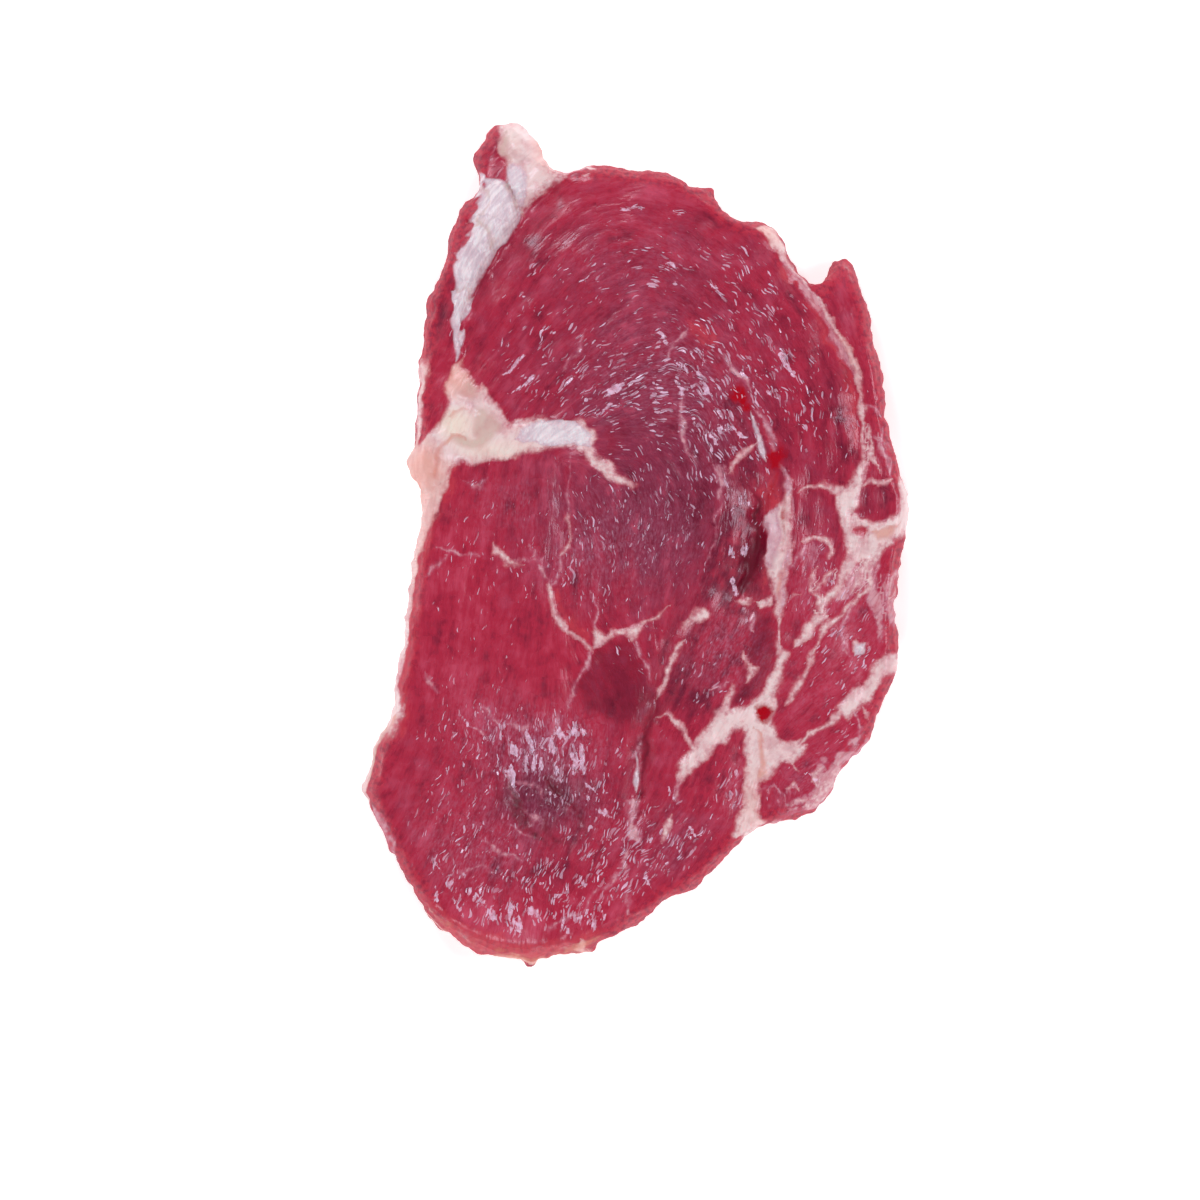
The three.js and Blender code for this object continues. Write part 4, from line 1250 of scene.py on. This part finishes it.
        # The noted lightness and noise; where it is low in dips and creases, the darker red paints shade.
        level = self.light
        for noise, weight in ((self.strand, 0.65), (streak, 0.1), (self.blotch, 1.7)):
            level = self.value("Math", {0: noise, 1: weight, 2: level}, operation="MULTIPLY_ADD")
        for low, high, shade in ((1.15, 0.6, look.dark), (1.22, 1.87, look.light)):
            share = self.value("MapRange", {0: level, 1: low, 2: high, 4: 0.9})
            colour = self.value("Mix", {0: share, 6: colour, 7: shade}, **COLOUR)
        reach = self.value("Math", {0: self.blotch, 1: -5.0, 2: self.rim}, operation="MULTIPLY_ADD")
        near = self.value("MapRange", {0: reach, 1: 1.4, 2: -1.4, 4: 0.8}, **SMOOTH)
        streaky = self.value("MapRange", {0: self.blot, 1: 0.42, 2: 0.66}, **SMOOTH)
        edge = self.value("Mix", {0: streaky, 6: look.rim, 7: look.rim_dark}, **COLOUR)
        return self.value("Mix", {0: near, 6: colour, 7: edge}, **COLOUR)

    def depth(self, tissue: Tissue) -> Socket:
        """Works out how deep a place lies inside a tissue, from what the mesh notes of it.

        Args:
            tissue: the tissue.

        Returns:
            The depth in mm, below 0 outside the tissue.
        """
        across, half, patch = self.noted(tissue.value)
        across = self.value("Math", {0: across}, operation="ABSOLUTE")
        line = self.value("Math", {0: half, 1: across}, operation="SUBTRACT")
        return self.value("Math", {0: line, 1: patch}, operation="MAXIMUM")

    def tissue(self, finish: TissueFinish) -> tuple[Socket, Socket]:
        """Where one tissue shows, and its colour.

        Args:
            finish: the tissue's finish.

        Returns:
            0 outside it to its opacity inside, and the colour.
        """
        fray = {0: self.ragged, 1: 2 * finish.ragged, 2: self.depth(finish.tissue)}
        frayed = self.value("Math", fray, operation="MULTIPLY_ADD")
        edge = {1: finish.ragged - finish.soft, 2: finish.ragged + finish.soft, 4: finish.opacity}
        cover = self.value("MapRange", {0: frayed, **edge}, **SMOOTH)
        fibrous = self.value("MapRange", {0: self.strand, 1: 0.36, 2: 0.6, 3: 1 - finish.streaked, 4: 1.0})
        cover = self.value("Math", {0: cover, 1: fibrous}, operation="MULTIPLY")
        deep = self.value("Math", {0: self.blot, 1: 2.4 * finish.thick, 2: frayed}, operation="MULTIPLY_ADD")
        low = finish.ragged + 1.2 * finish.thick
        share = self.value("MapRange", {0: deep, 1: low - 0.1 * finish.thick, 2: low + finish.thick})
        fade = self.value("MapRange", {0: self.blotch, 1: 0.36, 2: 0.52, 3: 0.5, 4: 1.0})
        share = self.value("Math", {0: share, 1: fade}, operation="MULTIPLY")
        return cover, self.value("Mix", {0: share, 6: finish.skirt, 7: finish.core}, **COLOUR)

    def tinted(self, tissue: Tissue, shade: Socket) -> Socket:
        """Mottles tendon with a duller pearl, and turns fat peach or ivory where the mesh says so.

        Args:
            tissue: the tissue.
            shade: its colour so far.

        Returns:
            Its colour.
        """
        look = self.look
        tints = {
            TENDON: ((self.strand, 0.62, 0.38, 0.6, look.pearl),),
            FAT: ((self.peach, 0.05, 0.9, 0.95, look.peach), (self.peach, -0.05, -0.9, 0.95, look.ivory)),
        }
        for noise, low, high, most, tint in tints.get(tissue, ()):
            share = self.value("MapRange", {0: noise, 1: low, 2: high, 4: most})
            shade = self.value("Mix", {0: share, 6: shade, 7: tint}, **COLOUR)
        return shade

    def painted_wide_shine(self, depth: Socket) -> Socket:
        """Splits the painted highlights of the larger wet spots up along the fibres.

        Args:
            depth: how deep a place lies inside a spot, in mm.

        Returns:
            How much it shines, from 0 to 1.
        """
        split = self.value("Math", {0: self.strand, 1: 2.6, 2: depth}, operation="MULTIPLY_ADD")
        split = self.value("Math", {0: self.ragged, 1: 1.5, 2: split}, operation="MULTIPLY_ADD")
        there = self.value("MapRange", {0: split, 1: 2.08, 2: 2.42}, **SMOOTH)
        power = self.value("MapRange", {0: self.blot, 1: 0.38, 2: 0.6, 3: 0.45, 4: 1.0})
        return self.value("Math", {0: there, 1: power}, operation="MULTIPLY")

    def glints(self, density: Socket, pale: Socket) -> tuple[Socket, Socket]:
        """Small facets of wet fibre ends drawn out along the fibres: painted glints, each tilted its own
        way.

        Args:
            density: how thickly they lie.
            pale: 1 on fat or tendon, which have none.

        Returns:
            How much of a painted glint each place is, and the height of its tilted facet in mm.
        """
        clump = self.value("TexNoise", {"Vector": self.mm, "Scale": 0.3, "Detail": 2.0})
        spread = self.value("MapRange", {0: clump, 1: 0.4, 2: 0.6, 3: 0.15, 4: 1.45})
        wanted = self.value("Math", {0: density, 1: spread}, operation="MULTIPLY")
        wanted = self.value("Math", {0: wanted, 1: pale}, operation="SUBTRACT")
        wobble = self.add("TexNoise", {"Vector": self.mm, "Scale": 0.3, "Detail": 0.0}).outputs["Color"]
        warp = {0: wobble, 1: (2.4, 2.4, 0), 2: self.fibres}
        warped = self.value("VectorMath", warp, operation="MULTIPLY_ADD")
        shine = 0.0
        height = 0.0
        for layer in self.look.layers:
            along, across = layer.spacing
            cells = (1 / along, 1 / across, 0)
            scaled = self.value("VectorMath", {0: warped, 1: cells}, operation="MULTIPLY")
            cell = self.add("TexVoronoi", {"Vector": scaled, "Scale": 1.0}, **FLAT)
            chance = self.add("SeparateXYZ", {0: cell.outputs["Color"]}).outputs
            away = self.value("VectorMath", {0: scaled, 1: cell.outputs["Position"]}, operation="SUBTRACT")
            halves = (along / layer.half[0], across / layer.half[1], 0)
            measured = self.value("VectorMath", {0: away, 1: halves}, operation="MULTIPLY")
            reach = self.value("VectorMath", {0: measured}, operation="LENGTH")
            left = self.value("Math", {0: wanted, 1: layer.share, 2: chance[2]}, operation="MULTIPLY_ADD")
            size = self.value("MapRange", {0: left, 1: 1.0, 2: 1.35, 4: 1.1})
            gap = self.value("Math", {0: size, 1: reach}, operation="SUBTRACT")
            dash = self.value("MapRange", {0: gap, 1: 0.0, 2: 0.3}, **SMOOTH)
            # Each cell's own random colour, from 0 to 1, says which way its facet falls, to either side.
            slope = np.array((2 * layer.tilt * along, 2 * layer.tilt * across, 0))
            random_way = {0: cell.outputs["Color"], 1: slope, 2: -0.5 * slope}
            way = self.value("VectorMath", random_way, operation="MULTIPLY_ADD")
            drop = self.value("VectorMath", {0: away, 1: way}, operation="DOT_PRODUCT")
            square = self.value("Math", {0: chance[0], 1: chance[0]}, operation="MULTIPLY")
            power = self.value("MapRange", {0: square, 3: 0.25, 4: 1.0})
            bright = self.value("Math", {0: dash, 1: power}, operation="MULTIPLY")
            shine = self.value("Math", {0: shine, 1: bright}, operation="MAXIMUM")
            height = self.value("Math", {0: drop, 1: dash, 2: height}, operation="MULTIPLY_ADD")
        return shine, height

    def relief(self, covers: dict[Tissue, Socket], facets: Socket) -> Socket:
        """The relief that is finer than the mesh.

        Args:
            covers: where each tissue shows.
            facets: the height of the glints' facets in mm.

        Returns:
            The normal.
        """
        # The rim fat's ribs run inward, and the tendon's fibres down it. At a scale of 1 a wave's bands lie
        # 2 pi / 20 apart.
        scale = 2 * math.pi / 20 / self.look.rib_spacing
        ribs = {"Vector": self.mm, "Scale": scale, "Distortion": 1.6}
        ribs = self.add("TexWave", ribs, bands_direction="Y").outputs["Fac"]
        turn = math.radians(self.look.tendon_turn)
        turned = self.value("VectorRotate", {0: self.mm, "Angle": turn}, rotation_type="Z_AXIS")
        cords = {"Vector": turned, "Scale": scale, "Distortion": 1.2}
        cords = self.add("TexWave", cords, bands_direction="X").outputs["Fac"]
        ribbed = self.value("Math", {0: ribs, 1: self.ribbing, 2: 0.1}, operation="MULTIPLY_ADD")
        corded = self.value("Math", {0: cords, 1: 0.06, 2: 0.1}, operation="MULTIPLY_ADD")
        total = self.value("Math", {0: self.strand, 1: 0.16}, operation="MULTIPLY")
        total = self.value("Math", {0: ribbed, 1: covers[FAT], 2: total}, operation="MULTIPLY_ADD")
        total = self.value("Math", {0: corded, 1: covers[TENDON], 2: total}, operation="MULTIPLY_ADD")
        total = self.value("Math", {0: facets, 1: total}, operation="ADD")
        return self.value("Bump", {"Strength": 1.0, "Distance": MM, "Height": total})


@dataclass
class BeefSlice:
    """The slice: the frame's solid with a finer surface, sculpted and dressed as raw beef."""

    name: str = "raw_slice"
    node: str = "beef_slice"
    voxel: float = 0.6
    relax_passes: int = 14
    relax_pull: float = 0.55
    relax_push: float = -0.56
    under_height: float = 0.5
    wander: float = 1.7
    flush_reach: float = 0.3
    film_thinned: float = 0.4
    stain_top: float = 14.0
    stain_span: float = 8.0
    stain_fade: float = 0.15
    dry_rim: Point = (1.5, 6.0)
    swells: tuple[Ripple, ...] = (Ripple(0.34, 11.0, 21), Ripple(0.14, 5.0, 22))
    fat_swells: tuple[Ripple, ...] = (Ripple(0.28, 3.2, 25), Ripple(0.1, 1.5, 26))
    side_swells: tuple[Ripple, ...] = (Ripple(0.32, 3.4, 31), Ripple(0.2, 1.5, 32))
    side_grit: Ripple = Ripple(0.12, 0.9, 33)
    film_gaps: Ripple = Ripple(1.4, 2.2, 61)
    anatomy: Anatomy = field(default_factory=Anatomy)
    grain: Grain = field(default_factory=Grain)
    finish: RawBeef = field(default_factory=RawBeef)
    piece: bpy.types.Object = field(init=False)

    def build(self) -> bpy.types.Object:
        """Makes the piece.

        Returns:
            The finished piece.
        """
        self.copy_solid()
        self.refine()
        self.sculpt()
        self.note_tissues()
        self.piece.data.materials.clear()
        self.piece.data.materials.append(self.finish.material())
        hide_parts(self.node)
        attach(self.piece, "root")
        return self.piece

    def copy_solid(self) -> None:
        """Copies the frame's solid as one welded surface."""
        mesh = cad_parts[self.node].data.copy()
        self.piece = bpy.data.objects.new(self.name, mesh)
        bpy.context.scene.collection.objects.link(self.piece)
        bpy.ops.object.select_all(action="DESELECT")
        self.piece.select_set(True)
        bpy.context.view_layer.objects.active = self.piece
        bpy.ops.object.mode_set(mode="EDIT")
        bpy.ops.mesh.select_all(action="SELECT")
        bpy.ops.mesh.remove_doubles(threshold=0.001 * MM)
        bpy.ops.object.mode_set(mode="OBJECT")

    def refine(self) -> None:
        """Gives the surface a fine even mesh, with larger faces on the flat underside, and evens it out."""
        remesh = self.piece.modifiers.new("fine surface", "REMESH")
        remesh.mode = "VOXEL"
        remesh.voxel_size = self.voxel * MM
        remesh.use_smooth_shade = True
        bpy.ops.object.modifier_apply(modifier=remesh.name)
        mesh = self.piece.data
        bpy.ops.object.mode_set(mode="EDIT")
        bpy.ops.mesh.select_mode(type="FACE")
        bpy.ops.mesh.select_all(action="DESELECT")
        bpy.ops.object.mode_set(mode="OBJECT")
        middles = self.read(mesh.polygons, "center")
        normals = self.read(mesh.polygons, "normal")
        under = (normals[:, 2] < -0.99) & (middles[:, 2] < self.under_height * MM)
        mesh.polygons.foreach_set("select", under)
        bpy.ops.object.mode_set(mode="EDIT")
        bpy.ops.mesh.unsubdivide(iterations=4)
        bpy.ops.object.mode_set(mode="OBJECT")
        self.relax()

    def relax(self) -> None:
        """Evens out the frame's facets without shrinking the slice."""
        mesh = self.piece.data
        places = self.read(mesh.vertices, "co")
        edges = np.zeros(2 * len(mesh.edges), np.int32)
        mesh.edges.foreach_get("vertices", edges)
        start, end = edges.reshape(-1, 2).T
        count = np.bincount(np.concatenate([start, end]), minlength=len(places))[:, None]
        for turn in range(2 * self.relax_passes):
            total = np.zeros_like(places)
            for axis in range(3):
                total[:, axis] += np.bincount(start, places[end, axis], len(places))
                total[:, axis] += np.bincount(end, places[start, axis], len(places))
            share = self.relax_push if turn % 2 else self.relax_pull
            places += share * (total / count - places)
        self.write_places(places)

    def sculpt(self) -> None:
        """Raises and sinks the surface: muscle, seams, folds, fibres, and the ragged edge."""
        mesh = self.piece.data
        places = self.read(mesh.vertices, "co") / MM
        normals = self.read(mesh.vertices, "normal")
        flat = places[:, :2]
        up = smooth(normals[:, 2], 0.25, 0.85)
        height = self.height(flat)
        sideways = normals[:, :2] / np.maximum(np.linalg.norm(normals[:, :2], axis=1), 1e-6)[:, None]
        steep = smooth(np.linalg.norm(normals[:, :2], axis=1), 0.3, 0.9)
        # The side is drawn out along the depth, as its fibres run from face to face.
        stretched = places * (1, 1, 0.25)
        edge = rippled(stretched, *self.side_swells) + rippled(places, self.side_grit)
        for tag in TAGS:
            away = np.linalg.norm(flat - tag.place, axis=1) / tag.width
            edge += tag.length * np.exp(-away * away)
        # The underside keeps its outline, flat on the floor.
        rest = smooth(places[:, 2], 0.05, 1.2)
        places[:, 2] += up * height
        places[:, :2] += (steep * rest * edge)[:, None] * sideways
        low, high = np.array(cad_bounds) / MM
        places = np.clip(places, low, high)
        self.write_places(places * MM)

    def height(self, flat: np.ndarray) -> np.ndarray:
        """The relief of the cut face.

        Args:
            flat: places in mm.

        Returns:
            How far each place stands out, in mm.
        """
        warped = self.warped(flat)
        depth = {tissue: self.anatomy.depth(tissue, warped) for tissue in (FAT, TENDON, FILM, LUMP, FOLD)}
        lean = 1 - smooth(np.maximum(depth[FAT], depth[TENDON]), -0.4, 0.6)
        height = rippled(flat, *self.swells)
        for rise, streaks in ((0.045, FINE_STREAKS), (0.09, WIDE_STREAKS)):
            height += lean * rise * self.grain.sampled(self.grain.streaks(*streaks), flat)
        height += smooth(depth[FAT], -0.5, 1.5) * (0.35 + rippled(flat, *self.fat_swells))
        for tissue, rise, low, high in RISES:
            height += rise * smooth(depth[tissue], low, high)
        return height

    def note_tissues(self) -> None:
        """Writes what the finish needs to know of each place on the mesh."""
        places = self.read(self.piece.data.vertices, "co") / MM
        normals = self.read(self.piece.data.vertices, "normal")
        side = smooth(np.linalg.norm(normals[:, :2], axis=1), 0.5, 0.95)
        # Down the side the seams wander off from where they meet the cut face.
        wander = [roughened(places * (0.4, 0.4, 1), 5.0, seed) for seed in (71, 72)]
        flat = places[:, :2] + self.wander * side[:, None] * np.column_stack(wander)
        below = side * np.clip(self.stain_top - places[:, 2], 0, self.stain_span)
        warped = self.warped(flat)
        for tissue in TOLD_TISSUES:
            told = self.told(tissue, flat, warped)
            if tissue is RUST:
                # Lines of stained fat thin out down the side.
                told[:, 1] -= self.stain_fade * below
            self.note(tissue.value, told)
        # The tone, whose darker clouds also paint shade in dips and creases.
        self.note("tone", np.column_stack([clouded(flat, clouds) for clouds in (PLUM, LIGHTNESS_AND_SHADE, PEACH)]))
        rim = self.from_rim()
        self.note("rim", rim)
        # The painted glints and sheen fade out towards the outer edge.
        inner = smooth(rim, *self.dry_rim)
        glints = np.clip(clouded(flat, GLINTS), 0, 1) * inner
        painted_sheen = np.clip(clouded(flat, PAINTED_SHEEN), 0, 1) * inner
        self.note("wet", np.column_stack([glints, painted_sheen, clouded(flat, RIBS)]))
        self.note("streak", self.grain.sampled(self.grain.streaks(*FINE_STREAKS), flat))
        turn = [self.grain.sampled(part, flat) for part in self.grain.turn]
        self.note("grain", np.column_stack([*turn, np.zeros(len(flat))]))

    def told(self, tissue: Tissue, flat: np.ndarray, warped: np.ndarray) -> np.ndarray:
        """What the finish needs to know of one tissue.

        Args:
            tissue: the tissue.
            flat: places in mm.
            warped: the same places, shifted so that seams wander.

        Returns:
            What the anatomy tells of it for each place, or its depth alone when its edges are soft.
        """
        if tissue in SOFT_TISSUES:
            depth = self.anatomy.depth(tissue, warped)
            if tissue is FLUSH:
                # Every seam of fat thins out under the lean beside it.
                depth = np.maximum(depth, self.anatomy.depth(FAT, warped) + self.flush_reach)
            far = np.full(len(flat), -self.anatomy.reach)
            return np.column_stack([np.zeros(len(flat)), far, depth])
        # Tendon has the smoothest outline.
        told = self.anatomy.told(tissue, 0.7 * flat + 0.3 * warped if tissue is TENDON else warped)
        if tissue is FILM:
            told[:, 2] += rippled(flat, self.film_gaps) - self.film_thinned
        if tissue is FAT:
            told[:, 2] = np.minimum(told[:, 2], -self.anatomy.depth(ISLAND, warped))
        return told

    def warped(self, flat: np.ndarray) -> np.ndarray:
        """Shifts places a little each their own way, so that the seams wander as grown ones do."""
        shift = [rippled(flat, Ripple(0.55, 3.2, seed), Ripple(0.25, 1.4, seed + 10)) for seed in (51, 52)]
        return flat + np.column_stack(shift)

    def from_rim(self) -> np.ndarray:
        """Measures how far the vertices are from the slice's outer edge, seen from above.

        Returns:
            The distance of each in mm.
        """
        mesh = self.piece.data
        flat = self.read(mesh.vertices, "co")[:, :2]
        steep = np.flatnonzero(np.abs(self.read(mesh.vertices, "normal")[:, 2]) < 0.25)
        tree = kdtree.KDTree(len(steep))
        for index in steep:
            tree.insert((*flat[index], 0), index)
        tree.balance()
        return np.array([tree.find((x, y, 0))[2] for x, y in flat]) / MM

    def note(self, name: str, values: np.ndarray) -> None:
        """Writes one attribute of the mesh.

        Args:
            name: the attribute's name.
            values: a number or a vector for each vertex.
        """
        vector = values.ndim == 2
        kind = "FLOAT_VECTOR" if vector else "FLOAT"
        attribute = self.piece.data.attributes.new(name, kind, "POINT")
        attribute.data.foreach_set("vector" if vector else "value", values.astype(np.float32).ravel())

    def read(self, items: bpy.types.bpy_prop_collection, name: str) -> np.ndarray:
        """Reads a vector of each vertex or face.

        Args:
            items: the vertices or faces.
            name: what is read of them.

        Returns:
            One row for each.
        """
        values = np.zeros(3 * len(items), np.float32)
        items.foreach_get(name, values)
        return values.reshape(-1, 3).astype(float)

    def write_places(self, places: np.ndarray) -> None:
        """Moves the vertices to places in metres."""
        self.piece.data.vertices.foreach_set("co", places.astype(np.float32).ravel())
        self.piece.data.update()


@dataclass
class Studio:
    """The pale floor, the soft lights and the camera straight above, in mm and watts."""

    floor_size: float = 6000.0
    view_middle: Point = (-8.5, -13.1)
    view_width: float = 283.4
    face_height: float = 10.0
    lens: float = 200.0
    sensor: float = 36.0

    def build(self) -> None:
        """Sets up the floor, the lights, the surroundings and the camera."""
        self.floor()
        self.light("key", (-330, 700, 800), 300, 4.3)
        self.light("side", (760, 60, 760), 300, 3.1)
        self.light("near", (-260, -760, 760), 300, 3.1)
        self.surroundings()
        self.camera()
        bpy.context.scene.view_settings.view_transform = "Standard"

    def floor(self) -> None:
        """Lays the floor."""
        bpy.ops.object.select_all(action="DESELECT")
        bpy.ops.mesh.primitive_plane_add(size=self.floor_size * MM, location=(0, 0, 0))
        floor = bpy.context.object
        floor.name = "pale_floor"
        material = bpy.data.materials.new("matt_white_board")
        material.use_nodes = True
        shader = material.node_tree.nodes["Principled BSDF"]
        shader.inputs["Base Color"].default_value = linear("#f7f7f7")
        shader.inputs["Roughness"].default_value = 0.9
        shader.inputs["Emission Color"].default_value = (1, 1, 1, 1)
        shader.inputs["Emission Strength"].default_value = 0.5
        floor.data.materials.append(material)

    def light(self, name: str, place: tuple[float, float, float], size: float, power: float) -> None:
        """Hangs one square soft light that faces the slice.

        Args:
            name: the light's name.
            place: where it hangs, in mm.
            size: its side, in mm.
            power: its power in watts.
        """
        lamp = bpy.data.lights.new(name, "AREA")
        lamp.size = size * MM
        lamp.energy = power
        holder = bpy.data.objects.new(name, lamp)
        bpy.context.scene.collection.objects.link(holder)
        holder.location = [p * MM for p in place]
        holder.rotation_mode = "QUATERNION"
        holder.rotation_quaternion = holder.location.to_track_quat("Z", "Y")

    def surroundings(self) -> None:
        """Makes the room white at the horizon and dimmer overhead, so that the wet face keeps its colour."""
        world = bpy.data.worlds.new("white_room")
        bpy.context.scene.world = world
        world.use_nodes = True
        tree = world.node_tree
        tree.nodes.clear()
        place = add(tree, "TexCoord").outputs["Generated"]
        part = add(tree, "SeparateXYZ", {0: place})
        level = add(tree, "MapRange", {0: part.outputs[2], 1: 0.1, 2: 0.75, 3: 1.0, 4: 0.17})
        light = add(tree, "Background", {"Color": (1, 1, 1, 1), "Strength": level.outputs[0]})
        add(tree, "OutputWorld", {"Surface": light.outputs[0]})

    def camera(self) -> None:
        """Hangs the camera straight above the slice."""
        lens = bpy.data.cameras.new("camera")
        lens.lens = self.lens
        lens.sensor_width = self.sensor
        camera = bpy.data.objects.new("camera", lens)
        bpy.context.scene.collection.objects.link(camera)
        distance = self.view_width * self.lens / self.sensor
        camera.location = [p * MM for p in (*self.view_middle, self.face_height + distance)]
        bpy.context.scene.camera = camera


def main() -> None:
    """Builds the slice and the studio."""
    logging.basicConfig(level=logging.INFO, format="%(name)s: %(message)s")
    piece = BeefSlice().build()
    triangles = sum(len(face.vertices) - 2 for face in piece.data.polygons)
    LOG.info("%s: %d triangles", piece.name, triangles)
    Studio().build()
    LOG.info("studio: floor, lights and camera")


if __name__ == "__main__":
    main()
